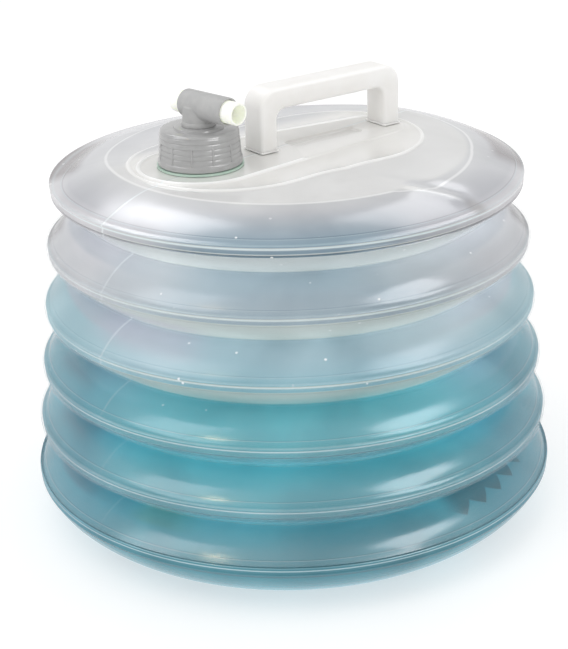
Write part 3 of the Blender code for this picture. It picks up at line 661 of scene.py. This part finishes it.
def within(add, strength, windows, ease=None):
    # the strength where each source is past its first value, rising to full at its second
    for source, low, high in windows:
        window = add("MapRange", {"Value": source, "From Min": low, "From Max": high, **(ease or {})})
        strength = add("Math", {"operation": "MULTIPLY", 0: strength, 1: window})
    return strength


def wallTint(add, wall):
    # the colour by height; painted light: faces that look down, the folds' lower walls, are painted paler
    # than the walls that look up, where the carrier is empty
    look = bellowsLook
    outside, under = (add("ValToRGB", {0: wall.level}, byHeight(look[key])) for key in ("outside", "under"))
    slope = add("SeparateXYZ", {0: add("NewGeometry").outputs["Normal"]}).outputs["Z"]
    downward = add("MapRange", {"Value": slope, "From Min": 0.1, "From Max": -0.25, **smoothly})
    tint = add("Mix", {"data_type": "RGBA", 0: downward, 6: outside, 7: under})
    # painted shade: the front of the shoulder and of the two ribs below it, on the camera's side, is painted
    # darker
    band = add("ValToRGB", {0: wall.exact}, byHeight(look["frontShadeBand"]))
    upward = add("Math", {"operation": "MULTIPLY_ADD", 0: downward, 1: -0.8, 2: 1.0})
    paintedFrontShade = add("Math", {"operation": "MULTIPLY", 0: wall.front, 1: band})
    paintedFrontShade = add("Math", {"operation": "MULTIPLY", 0: paintedFrontShade, 1: upward})
    tint = add("Mix", {"data_type": "RGBA", 0: paintedFrontShade, 6: tint, 7: look["frontShadeTone"]})
    # toward the sides: a pale zone along each rim, painted light for the white behind seen through the wall,
    # and a deeper tone further in
    belowTop = add("MapRange", {"Value": wall.z, "From Min": 0.2095, "From Max": 0.205, "To Max": 0.8})
    sideness = within(add, belowTop, [(wall.facingFront, 0.88, 0.55)], smoothly)
    nearRim = add("MapRange", {"Value": wall.depthWave, "From Min": 0.0125, "From Max": 0.0095, **smoothly})
    pale, deep = (add("ValToRGB", {0: wall.level}, byHeight(look[key])) for key in ("sidePaintedLight", "sideDeep"))
    sideTone = add("Mix", {"data_type": "RGBA", 0: nearRim, 6: deep, 7: pale})
    return add("Mix", {"data_type": "RGBA", 0: sideness, 6: tint, 7: sideTone})


def shadeAndPatchTint(add, wall, tint):
    # painted shade: a dark edge along the far side of the clear rims, where the wall is seen through itself
    look = bellowsLook
    nearRim = add("MapRange", {"Value": wall.depthWave, "From Min": 0.0105, "From Max": 0.0065, **smoothly})
    # on the shoulder the edge begins further in, where the wall turns out of sight
    onShoulder = add("MapRange", {"Value": wall.radius, "From Min": 0.114, "From Max": 0.122, **smoothly})
    edge = add("Mix", {"data_type": "FLOAT", 0: wall.shoulderward, 2: nearRim, 3: onShoulder})
    edge = within(add, edge, [(wall.facingFront, 0.2, 0.03), (wall.facingFront, -0.6, -0.3)], smoothly)
    clearPart = add("MapRange", {"Value": wall.z, "From Min": 0.15, "From Max": 0.165, "To Max": 0.82})
    edge = add("Math", {"operation": "MULTIPLY", 0: edge, 1: clearPart})
    tint = add("Mix", {"data_type": "RGBA", 0: edge, 6: tint, 7: "#7a7274"})
    # painted shade: dark wedges with pointed ends on the lowest rib's right, where its wall is folded
    tooth = add("Math", {"operation": "PINGPONG", 0: wall.azimuth, 1: 0.0585})
    toothFoot = add("Math", {"operation": "MULTIPLY_ADD", 0: tooth, 1: 0.06, 2: 0.0338})
    toothFoot = add("Math", {"operation": "MULTIPLY_ADD", 0: wall.azimuth, 1: 0.0055, 2: toothFoot})
    above = add("Math", {"operation": "SUBTRACT", 0: wall.z, 1: toothFoot})
    lowRib = add("MapRange", {"Value": wall.z, "From Min": 0.0495, "From Max": 0.048, "To Max": 0.72})
    windows = [(above, -0.0003, 0.0004), (wall.azimuth, 0.62, 0.72), (wall.azimuth, 1.25, 1.12)]
    paintedWedgeShade = within(add, lowRib, windows, smoothly)
    tint = add("Mix", {"data_type": "RGBA", 0: paintedWedgeShade, 6: tint, 7: "#2f525d"})
    # darker and tinted patches between the rims and the folds, in windows of angle and height; the pale one
    # on the right is painted sheen
    inland = add("Math", {"operation": "MULTIPLY", 0: wall.depthWave, 1: 40.0})
    deepEnough = add("ValToRGB", {0: inland}, [(0.2, 0.0), (0.4, 1.0), (0.8, 1.0), (1.0, 0.0)])
    for (near, full, end), (rise, fall), strength, tone in look["patchesAndSheen"]:
        aside = [(wall.azimuth, near, full), (wall.azimuth, end, end - 0.2)]
        patchAndSheen = within(add, deepEnough, aside + [(wall.z, *rise), (wall.z, *fall)], smoothly)
        patchAndSheen = add("Math", {"operation": "MULTIPLY", 0: patchAndSheen, 1: strength})
        tint = add("Mix", {"data_type": "RGBA", 0: patchAndSheen, 6: tint, 7: tone})
    return tint


def rimTint(add, wall, tint):
    # each rim: painted highlight in fine pale lines and painted shade in fine dark lines along its bead, by
    # the height above or below it
    look = bellowsLook
    reach = look["rimReach"]
    stops = []
    for _, z in reversed(container["rims"]):
        stops += [(z - reach, 0.0), (z + reach, 1.0), (z + reach + 0.02, 0.0)]
    rimShare = add("ValToRGB", {0: wall.exact}, byHeight(stops))
    shade, shine = (
        add("ValToRGB", {0: rimShare}, [((z + reach) / (2 * reach), value) for z, value in look[key]])
        for key in ("rimShade", "rimShine"))
    tint = add("Mix", {"data_type": "RGBA", "blend_type": "SOFT_LIGHT", 0: 0.8, 6: tint, 7: shade})
    tint = add("Mix", {"data_type": "RGBA", 0: shine, 6: tint, 7: "#dcf1f6"})
    # uneven wall: slow light and dark patches
    mottle = add("ValToRGB", {0: wall.patches}, [(0.3, 0.3), (0.5, 0.5), (0.72, 0.72)])
    return add("Mix", {"data_type": "RGBA", "blend_type": "SOFT_LIGHT", 0: 0.7, 6: tint, 7: mottle})


def seamLine(add, wall):
    # the mould's parting line, a fine pale ridge in a plane near the handle's
    turn = math.radians(bellowsLook["seamAngle"])
    normal = (math.sin(turn), math.cos(turn), 0)
    offPlane = add("VectorMath", {"operation": "DOT_PRODUCT", 0: wall.place, 1: normal})
    offPlane = add("Math", {"operation": "ABSOLUTE", 0: offPlane})
    rise = add("MapRange", {
        "Value": wall.z, "From Min": 0.095, "From Max": 0.15, "To Min": 0.04, "To Max": 0.4})
    onTop = add("MapRange", {
        "Value": wall.z, "From Min": 0.196, "From Max": 0.204, "To Min": 1.0, "To Max": 1.8})
    rise = add("Math", {"operation": "MULTIPLY", 0: rise, 1: onTop})
    return within(add, rise, [(offPlane, 0.0011, 0.0003)])


def deckTint(add, wall, tint):
    # painted highlight: the deck's ridges are thinner, and painted paler along their crests
    tint = add("Mix", {"data_type": "RGBA", 0: wall.ridge, 6: tint, 7: "#ffffff"})
    # painted highlight: a pale line round the deck's edge, which runs out on the right, where the crease
    # begins
    aside = add("MapRange", {"Value": wall.azimuth, "From Min": 0.0, "From Max": 3.0})
    outrun = add("ValToRGB", {0: aside}, [(0.19, 0.0), (0.235, 0.75), (0.48, 0.3), (0.6, 0.4), (0.9, 0.0)])
    lineRadius = add("Math", {"operation": "MULTIPLY_ADD", 0: outrun, 1: 0.01, 2: 0.1025})
    fromLine = add("Math", {"operation": "SUBTRACT", 0: wall.radius, 1: lineRadius})
    fromLine = add("Math", {"operation": "ABSOLUTE", 0: fromLine})
    topOnly = add("MapRange", {"Value": wall.z, "From Min": 0.208, "From Max": 0.21, "To Max": 0.45})
    line = within(add, topOnly, [(fromLine, 0.0012, 0.0004)])
    tint = add("Mix", {"data_type": "RGBA", 0: line, 6: tint, 7: "#ffffff"})
    # the crease: a painted highlight along it from the deck's edge, and painted shade in the dent where it
    # ends
    start, end, dent = (frontPlace(*dents[key]) for key in ("start", "end", "dent"))
    run, length = (end - start).normalized(), (end - start).length * mm
    fromStart = add("VectorMath", {"operation": "SUBTRACT", 0: wall.place, 1: (*(start * mm), 0)})
    walked = add("VectorMath", {"operation": "DOT_PRODUCT", 0: fromStart, 1: (run.x, run.y, 0)})
    aside = add("VectorMath", {"operation": "DOT_PRODUCT", 0: fromStart, 1: (-run.y, run.x, 0)})
    aside = add("Math", {"operation": "ABSOLUTE", 0: aside})
    windows = [(aside, 0.0022, 0.0005), (walked, -0.001, 0.003), (walked, length + 0.001, length - 0.008)]
    tint = add("Mix", {"data_type": "RGBA", 0: within(add, topOnly, windows), 6: tint, 7: "#ffffff"})
    nearDent = add("VectorMath", {"operation": "DISTANCE", 0: wall.flat, 1: (*(dent * mm), 0)})
    paintedDentShade = within(add, wall.shoulderward, [(nearDent, 0.009, 0.001)], smoothly)
    paintedDentShade = add("Math", {"operation": "MULTIPLY", 0: paintedDentShade, 1: 0.5})
    tint = add("Mix", {"data_type": "RGBA", 0: paintedDentShade, 6: tint, 7: "#8f8a86"})
    # painted shade: the trough between the handle's feet, under its bar, is painted greyer
    paintedTroughShade = add("MapRange", {"Value": wall.ridge, "From Min": 0.0, "From Max": -1.0, "To Max": 0.85})
    return add("Mix", {"data_type": "RGBA", 0: paintedTroughShade, 6: tint, 7: "#dcdad6"})


def clingingDropsAndGlints(add, wall):
    # drops that cling to the wall near the rims, 1 to 2 mm: a small bump, and a painted glint that makes each
    # a pale speck
    cells = add("TexVoronoi", {"Vector": wall.place, "Scale": 85.0})
    chosen = add("SeparateColor", {0: cells.outputs["Color"]})
    few = add("Math", {"operation": "GREATER_THAN", 0: chosen, 1: 0.4})
    dropsAndGlints = within(add, few, [(cells, 0.085, 0.05), (wall.z, 0.1, 0.125), (wall.depth, 0.022, 0.012)])
    return add("Math", {"operation": "MULTIPLY", 0: dropsAndGlints, 1: 0.8})


def makeBellowsMaterial():
    # low-density polyethylene, blow-moulded: waxy, half clear, with a wet-looking gloss, teal from the water
    look = bellowsLook
    material, tree, shader = newMaterial("blowMouldedLdpe", {
        "IOR": 1.51, "Coat Weight": 0.3, "Coat Roughness": 0.2, "Specular IOR Level": 0.55})
    add = partial(addNode, tree)
    wall = placesOnWall(add)
    tint = rimTint(add, wall, shadeAndPatchTint(add, wall, wallTint(add, wall)))
    seam = seamLine(add, wall)
    tint = deckTint(add, wall, add("Mix", {"data_type": "RGBA", 0: seam, 6: tint, 7: "#e4eaec"}))
    dropsAndGlints = clingingDropsAndGlints(add, wall)
    # painted glint: the drops are painted pale
    tint = add("Mix", {"data_type": "RGBA", 0: dropsAndGlints, 6: tint, 7: "#ffffff"})
    # painted light: the folds glow by emission, more the deeper they are, for light from inside the carrier
    # that comes out through them
    glowRise = add("ValToRGB", {0: wall.exact}, byHeight(look["glow"]))
    glow = within(add, glowRise, [(wall.depth, 0.002, 0.02)], smoothly)
    glow = within(add, glow, [(wall.z, 0.203, 0.2)])
    seeThrough = add("ValToRGB", {0: wall.share}, byHeight(look["seeThrough"]))
    # relief: the wall's slow waves, the seam, fine streaks along the blow, and the drops
    flow = add("TexNoise", {"Vector": wall.place, "Scale": 60.0, "Detail": 2.0, "Roughness": 0.4})
    stretched = add("Mapping", {"Vector": wall.place, "Scale": (14.0, 14.0, 900.0)})
    streaks = add("TexNoise", {"Vector": stretched, "Scale": 1.0, "Detail": 3.0, "Roughness": 0.6})
    relief = add("Math", {"operation": "MULTIPLY_ADD", 0: flow, 1: 0.35, 2: seam})
    relief = add("Math", {"operation": "MULTIPLY_ADD", 0: streaks, 1: 0.06, 2: relief})
    relief = add("Math", {"operation": "ADD", 0: relief, 1: dropsAndGlints})
    # the third rib is the dullest
    clearEnd = container["rims"][1][1] - container["bandHalf"]
    dullness = [(111, 0.0), (113, 0.17), (clearEnd - 0.4, 0.17), (clearEnd, 0.02)]
    dull = add("ValToRGB", {0: wall.exact}, byHeight(dullness))
    gloss = add("MapRange", {
        "Value": wall.patches, "From Min": 0.3, "From Max": 0.7, "To Min": 0.13, "To Max": 0.23})
    # painted light: the folds' glow goes in as emission
    fill(tree, shader, {
        "Base Color": tint, "Emission Color": tint, "Emission Strength": glow, "Alpha": seeThrough,
        "Roughness": add("Math", {"operation": "ADD", 0: gloss, 1: dull}),
        "Normal": add("Bump", {"Height": relief, "Strength": 0.25, "Distance": 0.0006})})
    return material


def makeInnerFaceMaterial():
    # the inner face of the same wall, almost lost behind the outer one
    settings = {"Roughness": 0.4, "IOR": 1.51, "Alpha": 0.12}
    material, tree, shader = newMaterial("blowMouldedLdpeInside", settings)
    place = addNode(tree, "Attribute", {"attribute_name": "restPlace", "attribute_type": "GEOMETRY"})
    cloud = addNode(tree, "TexNoise", {"Vector": place.outputs["Vector"], "Scale": 30.0, "Detail": 2.0})
    tint = addNode(tree, "ValToRGB", {0: cloud}, [(0.3, "#d3dde2"), (0.7, "#eef2f4")])
    fill(tree, shader, {"Base Color": tint})
    return material


def keepRestPlace(obj):
    # patterns read this attribute, so that they stay put when the bellows folds
    mesh = obj.data
    attribute = mesh.attributes.new("restPlace", "FLOAT_VECTOR", "POINT")
    for k, vertex in enumerate(mesh.vertices):
        attribute.data[k].vector = vertex.co


bellowsMaterial = makeBellowsMaterial()
innerMaterial = makeInnerFaceMaterial()
for obj in (foldingRibs, containerBase, containerTop):
    obj.data.materials.append(bellowsMaterial)
    obj.data.materials.append(innerMaterial)
    modify(obj, "SOLIDIFY", thickness=container["wall"] * mm, offset=-1,
           use_even_offset=obj is not containerTop, material_offset=1, material_offset_rim=0)
    smooth(obj, 50)
    keepRestPlace(obj)

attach(foldingRibs, "base")
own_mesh(foldingRibs)
walls = [f"rib_{k}_{kind}" for k in range(2, 6) for kind in ("upper_wall", "rim", "lower_wall")]
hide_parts("rib_1_lower_wall", "rib_6_upper_wall", *walls)
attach(containerBase, "base")
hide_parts("base_pan", "rib_6_rim")
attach(containerTop, "deck")
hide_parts("rib_1_rim", "shoulder", "deck")


# handle: a square bar on two legs, with soft edges and a small flange at each foot

handleSizes = {"centre": 27.3, "length": 100.0, "width": 17.5, "foot": 218.7, "top": 254.7, "leg": 11.4,
               "bar": 12.2, "outerCorner": 11.0, "innerCorner": 6.0, "edge": 2.0,
               "flangeReach": 0.8, "flangeHeight": 1.1, "flangeEdge": 0.45}


def solidFromOutline(name, outline, depth):
    # a closed outline in XZ filled and drawn out along Y, evenly to both sides
    places = [Vector((x * mm, -depth / 2 * mm, z * mm)) for x, z in outline]
    obj = oneVertex(name, places[0])
    drawOn(places + places[:1])
    bpy.ops.mesh.remove_doubles(threshold=0.01 * mm)
    bpy.ops.mesh.edge_face_add()
    bpy.ops.mesh.extrude_region_move(TRANSFORM_OT_translate={"value": (0, depth * mm, 0)})
    bpy.ops.mesh.select_all(action="SELECT")
    bpy.ops.mesh.normals_make_consistent(inside=False)
    objectMode()
    return obj


def makeHandle():
    spec = handleSizes
    x, half, leg, foot = spec["centre"], spec["length"] / 2, spec["leg"], spec["foot"]
    outer, inner = spec["outerCorner"], spec["innerCorner"]
    high, low = spec["top"] - outer, spec["top"] - spec["bar"] - inner
    left, right = x - half, x + half
    outline = ([(right, foot)] + arcPoints(right - outer, high, outer, 0, quarter, 9)
               + arcPoints(left + outer, high, outer, quarter, 2 * quarter, 9)
               + [(left, foot), (left + leg, foot)]
               + arcPoints(left + leg + inner, low, inner, 2 * quarter, quarter, 7)
               + arcPoints(right - leg - inner, low, inner, quarter, 0, 7) + [(right - leg, foot)])
    obj = solidFromOutline("carryHandle", outline, spec["width"])
    bevelEdges(obj, spec["edge"], 4, 50)
    reach, height = spec["flangeReach"], spec["flangeHeight"]
    flange = (leg + reach, spec["width"] + reach, height)
    joinPieces(obj, [boxPiece("footFlange", flange, (centre, 0, foot + height / 2), spec["flangeEdge"])
                     for centre in (left + leg / 2, right - leg / 2)])
    return smooth(obj, 50)


print("handle")
carryHandle = makeHandle()


def makeHandleMaterial():
    # natural polyethylene, injection moulded: milky white, satin, light comes a little way in
    settings = {"Roughness": 0.42, "IOR": 1.53, "Subsurface Weight": 0.5,
                "Subsurface Radius": (0.01, 0.01, 0.01), "Subsurface Scale": 0.4}
    return clouded("naturalPolyethylene", settings, (55.0, 4.0), [(0.3, "#f0eeeb"), (0.7, "#f6f5f3")],
                   bump=(0.12, 0.0002), grain=900.0)


carryHandle.data.materials.append(makeHandleMaterial())
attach(carryHandle, "deck")
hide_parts("carrying_handle")


# cap: stepped side, flared foot, slim grip ribs, a raised boss for the tap

capSizes = {
    # radius and height in mm: across the boss and the top, then the foot, the bore and the ceiling
    "crown": [(5.8, 241.0), (6.0, 241.2), (13.2, 241.2), (13.8, 241.0), (14.0, 240.5), (14.2, 240.05),
              (19.9, 240.0), (20.9, 239.8), (21.5, 239.3), (21.75, 238.5)],
    "skirt": [(23.0, 223.5), (23.35, 223.2), (23.4, 222.8), (23.4, 220.6), (23.05, 220.2), (19.8, 220.2),
              (19.4, 220.7), (19.4, 238.2), (8.1, 238.2), (8.1, 239.4), (5.8, 239.4)],
    "steps": 5, "stepTop": 238.5, "stepHeight": 2.88, "topRadius": 21.9, "footRadius": 22.8,
    "step": [(-0.42, 2.71), (-0.18, 2.33), (-0.03, 1.613), (0.05, 0.75), (-0.06, 0.25)],
    "ribs": 12, "rib": (0.9, 1.2, 9.6), "ribEdge": 0.35, "ribPlace": (22.4, 0, 228.6), "ribTilt": -3.6,
}


def makeCap():
    spec = capSizes
    points = list(spec["crown"])
    for k in range(1, spec["steps"] + 1):
        foot = spec["stepTop"] - spec["stepHeight"] * k
        radius = spec["topRadius"] + (spec["footRadius"] - spec["topRadius"]) * k / spec["steps"]
        points += [(radius + r, foot + z) for r, z in spec["step"]]
    cap = turned("screwCap", points + spec["skirt"], 96, closed=True)
    ribs = []
    for k in range(spec["ribs"]):
        rib = boxPiece("gripRib", spec["rib"], (0, 0, 0), spec["ribEdge"])
        rib.data.transform(moved(*spec["ribPlace"]) @ Matrix.Rotation(math.radians(spec["ribTilt"]), 4, "Y"))
        rib.data.transform(Matrix.Rotation(fullTurn * (k + 0.5) / spec["ribs"], 4, "Z"))
        ribs.append(rib)
    joinPieces(cap, ribs)
    cap.data.transform(moved(container["capCentre"], 0, 0))
    return smooth(cap, 40)


print("cap")
screwCap = makeCap()


def makeCapMaterial():
    # polypropylene, injection moulded and polished by its mould: mid grey with a crisp gloss
    settings = {"IOR": 1.49, "Coat Weight": 0.3, "Coat Roughness": 0.12}
    return clouded("polishedGreyPolypropylene", settings, (160.0, 5.0), [(0.3, "#a2a2a2"), (0.7, "#ababab")],
                   bump=(0.1, 0.0002), gloss=(0.19, 0.26))


screwCap.data.materials.append(makeCapMaterial())
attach(screwCap, "cap")
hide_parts("screw_cap")


# tap: a stem with a barrel across it, and the tube that turns in the barrel

tapSizes = {
    # radius and height in mm for the stem and its skirt; radius and place along the barrel for the rest
    "height": 252.3, "yaw": math.radians(-80),
    "stem": [(0, 252.3), (8.5, 252.3), (8.8, 246.3), (9.0, 243.2), (8.8, 242.8), (5.5, 242.8), (5.5, 237.9),
             (0, 237.9)],
    "barrel": [(0, 23.8), (7.2, 23.8), (7.7, 23.3), (7.7, -8.3), (7.3, -9.0), (6.9, -9.2), (0, -9.2)],
    "bore": [(0, 30), (6.6, 30), (6.6, -20), (0, -20)],
    "skirt": [(9.5, 241.35), (9.55, 242.6), (9.2, 243.7), (8.6, 244.2), (8.6, 242.9), (8.95, 242.8),
              (8.95, 241.35)],
    "voxel": 0.32, "turnSteps": 64,
}
tubeSizes = {
    # from the knob's round corner to the spout's lip, then back inside to the floor of the bore
    "radius": 6.2, "knobEnd": 17.4, "corner": 2.0,
    "profile": [(6.2, 31.0), (5.85, 31.42), (5.35, 31.42), (5.0, 31.3), (5.0, 15.5), (3.4, 14.3), (3.4, -4.6),
                (0, -4.6)],
}


def layAlongBarrel(obj):
    # from a turned shape's own Z to the barrel's axis, at the tap's place
    turn = Matrix.Rotation(tapSizes["yaw"], 4, "Z") @ Matrix.Rotation(quarter, 4, "Y")
    obj.data.transform(moved(container["capCentre"], 0, tapSizes["height"]) @ turn)
    return obj


def makeTapBody():
    spec = tapSizes
    steps = spec["turnSteps"]
    body = turned("tapBody", spec["stem"], steps)
    body.data.transform(moved(container["capCentre"], 0, 0))
    boolean(body, layAlongBarrel(turned("barrel", spec["barrel"], steps)), "UNION")
    boolean(body, layAlongBarrel(turned("bore", spec["bore"], steps)), "DIFFERENCE")
    # the stem and the barrel run into each other with a soft fillet
    modify(body, "REMESH", mode="VOXEL", voxel_size=spec["voxel"] * mm)
    modify(body, "SMOOTH", factor=0.5, iterations=6)
    # a skirt hides the seal between the stem and the cap
    skirt = turned("stemSkirt", spec["skirt"], steps, closed=True)
    skirt.data.transform(moved(container["capCentre"], 0, 0))
    joinPieces(body, [skirt])
    return smooth(body, 60)


def makeTube():
    spec = tubeSizes
    corner = arcPoints(spec["radius"] - spec["corner"], 0, spec["corner"], quarter, 0, 8)
    knob = [(x, spec["corner"] - spec["knobEnd"] - y) for x, y in corner]
    tube = turned("valveTube", [(0, -spec["knobEnd"])] + knob + spec["profile"], tapSizes["turnSteps"])
    return smooth(layAlongBarrel(tube), 50)


print("tap")
tapBody = makeTapBody()
valveTube = makeTube()


def makeTapMaterial():
    # polypropylene from a sparked mould: lighter grey, matt and faintly grained
    return clouded("mattGreyPolypropylene", {"Roughness": 0.55, "IOR": 1.49}, (200.0, 4.0),
                   [(0.3, "#a6a6a6"), (0.7, "#b0b0af")], bump=(0.15, 0.0001), grain=1800.0)


def makeTubeMaterial():
    # unpigmented polypropylene: pale cream with a green cast, satin, a little light inside; a faint emission
    # paints a glow for light through its thin wall
    settings = {"Roughness": 0.38, "IOR": 1.49, "Subsurface Weight": 0.7, "Subsurface Scale": 0.6,
                "Subsurface Radius": (0.008, 0.009, 0.006), "Emission Color": "#f0f2e6",
                "Emission Strength": 0.12}
    return clouded("creamPolypropylene", settings, (120.0, 3.0), [(0.3, "#f0f4e3"), (0.7, "#f8faee")],
                   bump=(0.08, 0.0001), grain=1500.0)


tapBody.data.materials.append(makeTapMaterial())
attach(tapBody, "tap")
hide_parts("tap_body")
valveTube.data.materials.append(makeTubeMaterial())
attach(valveTube, "valve")
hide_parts("valve_tube")


# the CAD's own pieces that stay in sight: neck, gasket, seals and clip

def makeNeckMaterial():
    # the moulding's thick neck: the same polyethylene, greener because there is more of it
    settings = {"Roughness": 0.3, "IOR": 1.51, "Subsurface Weight": 0.15,
                "Subsurface Radius": (0.006, 0.009, 0.007), "Subsurface Scale": 0.4}
    return clouded("thickLdpe", settings, (90.0, 3.0), [(0.3, "#a9c4b4"), (0.7, "#c3d8cb")],
                   bump=(0.1, 0.0003))


def makeRubberMaterial():
    # nitrile rubber, pressed: near black with a dusty bloom
    return clouded("nitrileRubber", {"Roughness": 0.7, "IOR": 1.52}, (700.0, 4.0),
                   [(0.35, "#1b1b1c"), (0.75, "#303031")], bump=(0.2, 0.0001))


def makeSteelMaterial():
    # spring steel strip, stamped: bright with fine rolling lines
    material, tree, shader = newMaterial("springSteel", {"Metallic": 1.0})
    add = partial(addNode, tree)
    stretch = add("Mapping", {"Vector": add("TexCoord").outputs["Object"], "Scale": (300.0, 2500.0, 2500.0)})
    lines = add("TexNoise", {"Vector": stretch, "Scale": 1.0, "Detail": 3.0})
    gloss = {"Value": lines, "From Min": 0.3, "From Max": 0.7, "To Min": 0.25, "To Max": 0.4, **smoothly}
    fill(tree, shader, {"Base Color": add("ValToRGB", {0: lines}, [(0.3, "#a7a8aa"), (0.7, "#c9cacc")]),
                        "Roughness": add("MapRange", gloss)})
    return material


print("small CAD pieces")
rubberMaterial = makeRubberMaterial()
carried = {
    "threaded_neck": makeNeckMaterial(), "stem_clip": makeSteelMaterial(), "cap_gasket": rubberMaterial,
    "stem_seal": rubberMaterial, "valve_ring_spout": rubberMaterial, "valve_ring_knob": rubberMaterial}
for name, material in carried.items():
    for materialSlot in frame["nodes"][name].material_slots:
        materialSlot.material = material


# studio: pale floor, soft boxes, and the camera where the photograph was taken from

studio = {
    "deckAngle": 36.04, "distance": 911.3, "height": 486.7, "focal": 1656.6, "pitch": 22.35, "roll": -1.51,
    "centre": (290.3, 317.2), "frame": (568, 649), "sensor": 36,
}

lights = {
    # place and aim as the camera sees them, size in metres, watts, tone; gloss mirrors all but the key
    "leftBox": ((-1.05, -0.3, 1.25), (-0.3, 0.0, 0.1), (0.6, 1.35), 8.5, "#fbfcff"),
    "rightBox": ((0.82, -0.22, 1.20), (0.3, -0.05, 0.1), (0.7, 0.42), 6.3, "#fbfcff"),
    "shoulderBox": ((-0.49, 0.66, 1.25), (-0.1, 0.0, 0.2), (0.36, 0.6), 3.9, "#fbfcff"),
    "shoulderFill": ((0.5, 0.7, 1.25), (0.1, 0.0, 0.2), (0.45, 0.6), 2.5, "#fbfcff"),
    "warmStrip": ((-0.63, -0.66, 1.20), (0, 0, 0.13), (0.14, 0.14), 1.5, "#ffe6bc"),
    "capStrip": ((0.95, -1.0, 0.95), (0.0, 0.0, 0.23), (0.8, 0.8), 12.0, "#ffffff"),
    "keyBox": ((-0.7, -1.0, 2.0), (0, 0, 0.13), (1.2, 1.2), 9.0, "#ffffff"),
}


def makeFloorMaterial():
    # white acrylic light table: an even pale ground, lit a little from below
    settings = {"Roughness": 0.85, "Emission Color": "#ffffff", "Emission Strength": 0.52}
    return clouded("paleFloor", settings, (3.0, 2.0), [(0.3, "#bebebe"), (0.7, "#c4c4c4")])


def makeFloor():
    deselectAll()
    bpy.ops.mesh.primitive_plane_add(size=12)
    floor = named("paleFloor")
    floor.data.materials.append(makeFloorMaterial())


def viewAxes():
    # the camera's right and its way ahead, both on the level
    angle = math.radians(studio["deckAngle"])
    return Vector((math.cos(angle), -math.sin(angle), 0)), Vector((math.sin(angle), math.cos(angle), 0))


def viewPlace(right, forward, up):
    # a place given as the camera sees it: to its right, away from it, up, in metres from the object's foot
    across, away = viewAxes()
    return across * right + away * forward + Vector((0, 0, up))


def softBox(name, place, aim, size, power, tone):
    light = bpy.data.lights.new(name, "AREA")
    light.shape = "RECTANGLE"
    light.size, light.size_y = size
    light.energy = power
    light.color = colour(tone)[:3]
    obj = bpy.data.objects.new(name, light)
    bpy.context.scene.collection.objects.link(obj)
    obj.location = place
    obj.rotation_euler = (aim - place).to_track_quat("-Z", "Y").to_euler()
    return obj


def makeLights():
    world = bpy.data.worlds.new("studio")
    bpy.context.scene.world = world
    world.use_nodes = True
    tree = world.node_tree
    add = partial(addNode, tree)
    # gloss mirrors a white room with a darker ceiling, dark behind the camera; all else sees an even white
    where = add("TexCoord").outputs["Generated"]
    rise = add("SeparateXYZ", {0: where}).outputs["Z"]
    toCamera = add("VectorMath", {"operation": "DOT_PRODUCT", 0: where, 1: tuple(-viewAxes()[1])})
    dim = add("MapRange", {
        "Value": toCamera, "From Min": 0.1, "From Max": 0.8, "To Min": 1.0, "To Max": 0.35})
    sky = add("ValToRGB", {0: rise}, [(0.0, 1.0), (0.3, 1.0), (0.6, 0.42), (1.0, 0.34)])
    sky = add("Mix", {"data_type": "RGBA", "blend_type": "MULTIPLY", 0: 1.0, 6: sky, 7: dim})
    mirrored = add("LightPath").outputs["Is Glossy Ray"]
    tone = add("Mix", {"data_type": "RGBA", 0: mirrored, 6: "#ffffff", 7: sky})
    fill(tree, tree.nodes["Background"], {"Color": tone, "Strength": 0.92})
    for name, (place, aim, size, power, tone) in lights.items():
        box = softBox(name, viewPlace(*place), viewPlace(*aim), size, power, tone)
        box.visible_diffuse = name == "keyBox"
        box.visible_glossy = name != "keyBox"


def makeCamera():
    spec = studio
    across, away = viewAxes()
    pitch, roll = math.radians(spec["pitch"]), math.radians(spec["roll"])
    up = Vector((0, 0, 1))
    looking = away * math.cos(pitch) - up * math.sin(pitch)
    upright = away * math.sin(pitch) + up * math.cos(pitch)
    right = across * math.cos(roll) + upright * math.sin(roll)
    top = upright * math.cos(roll) - across * math.sin(roll)
    camera = bpy.data.cameras.new("camera")
    width, height = spec["frame"]
    camera.sensor_width = spec["sensor"]
    camera.lens = spec["focal"] * spec["sensor"] / height
    camera.shift_x = (width / 2 - spec["centre"][0]) / height
    camera.shift_y = (spec["centre"][1] - height / 2) / height
    camera.clip_start = 0.05
    camera.clip_end = 50
    obj = bpy.data.objects.new("camera", camera)
    bpy.context.scene.collection.objects.link(obj)
    turn = Matrix((right, top, -looking)).transposed().to_4x4()
    obj.matrix_world = Matrix.Translation((up * spec["height"] - away * spec["distance"]) * mm) @ turn
    bpy.context.scene.camera = obj


print("studio")
makeFloor()
makeLights()
makeCamera()
bpy.context.scene.view_settings.view_transform = "Standard"

deselectAll()
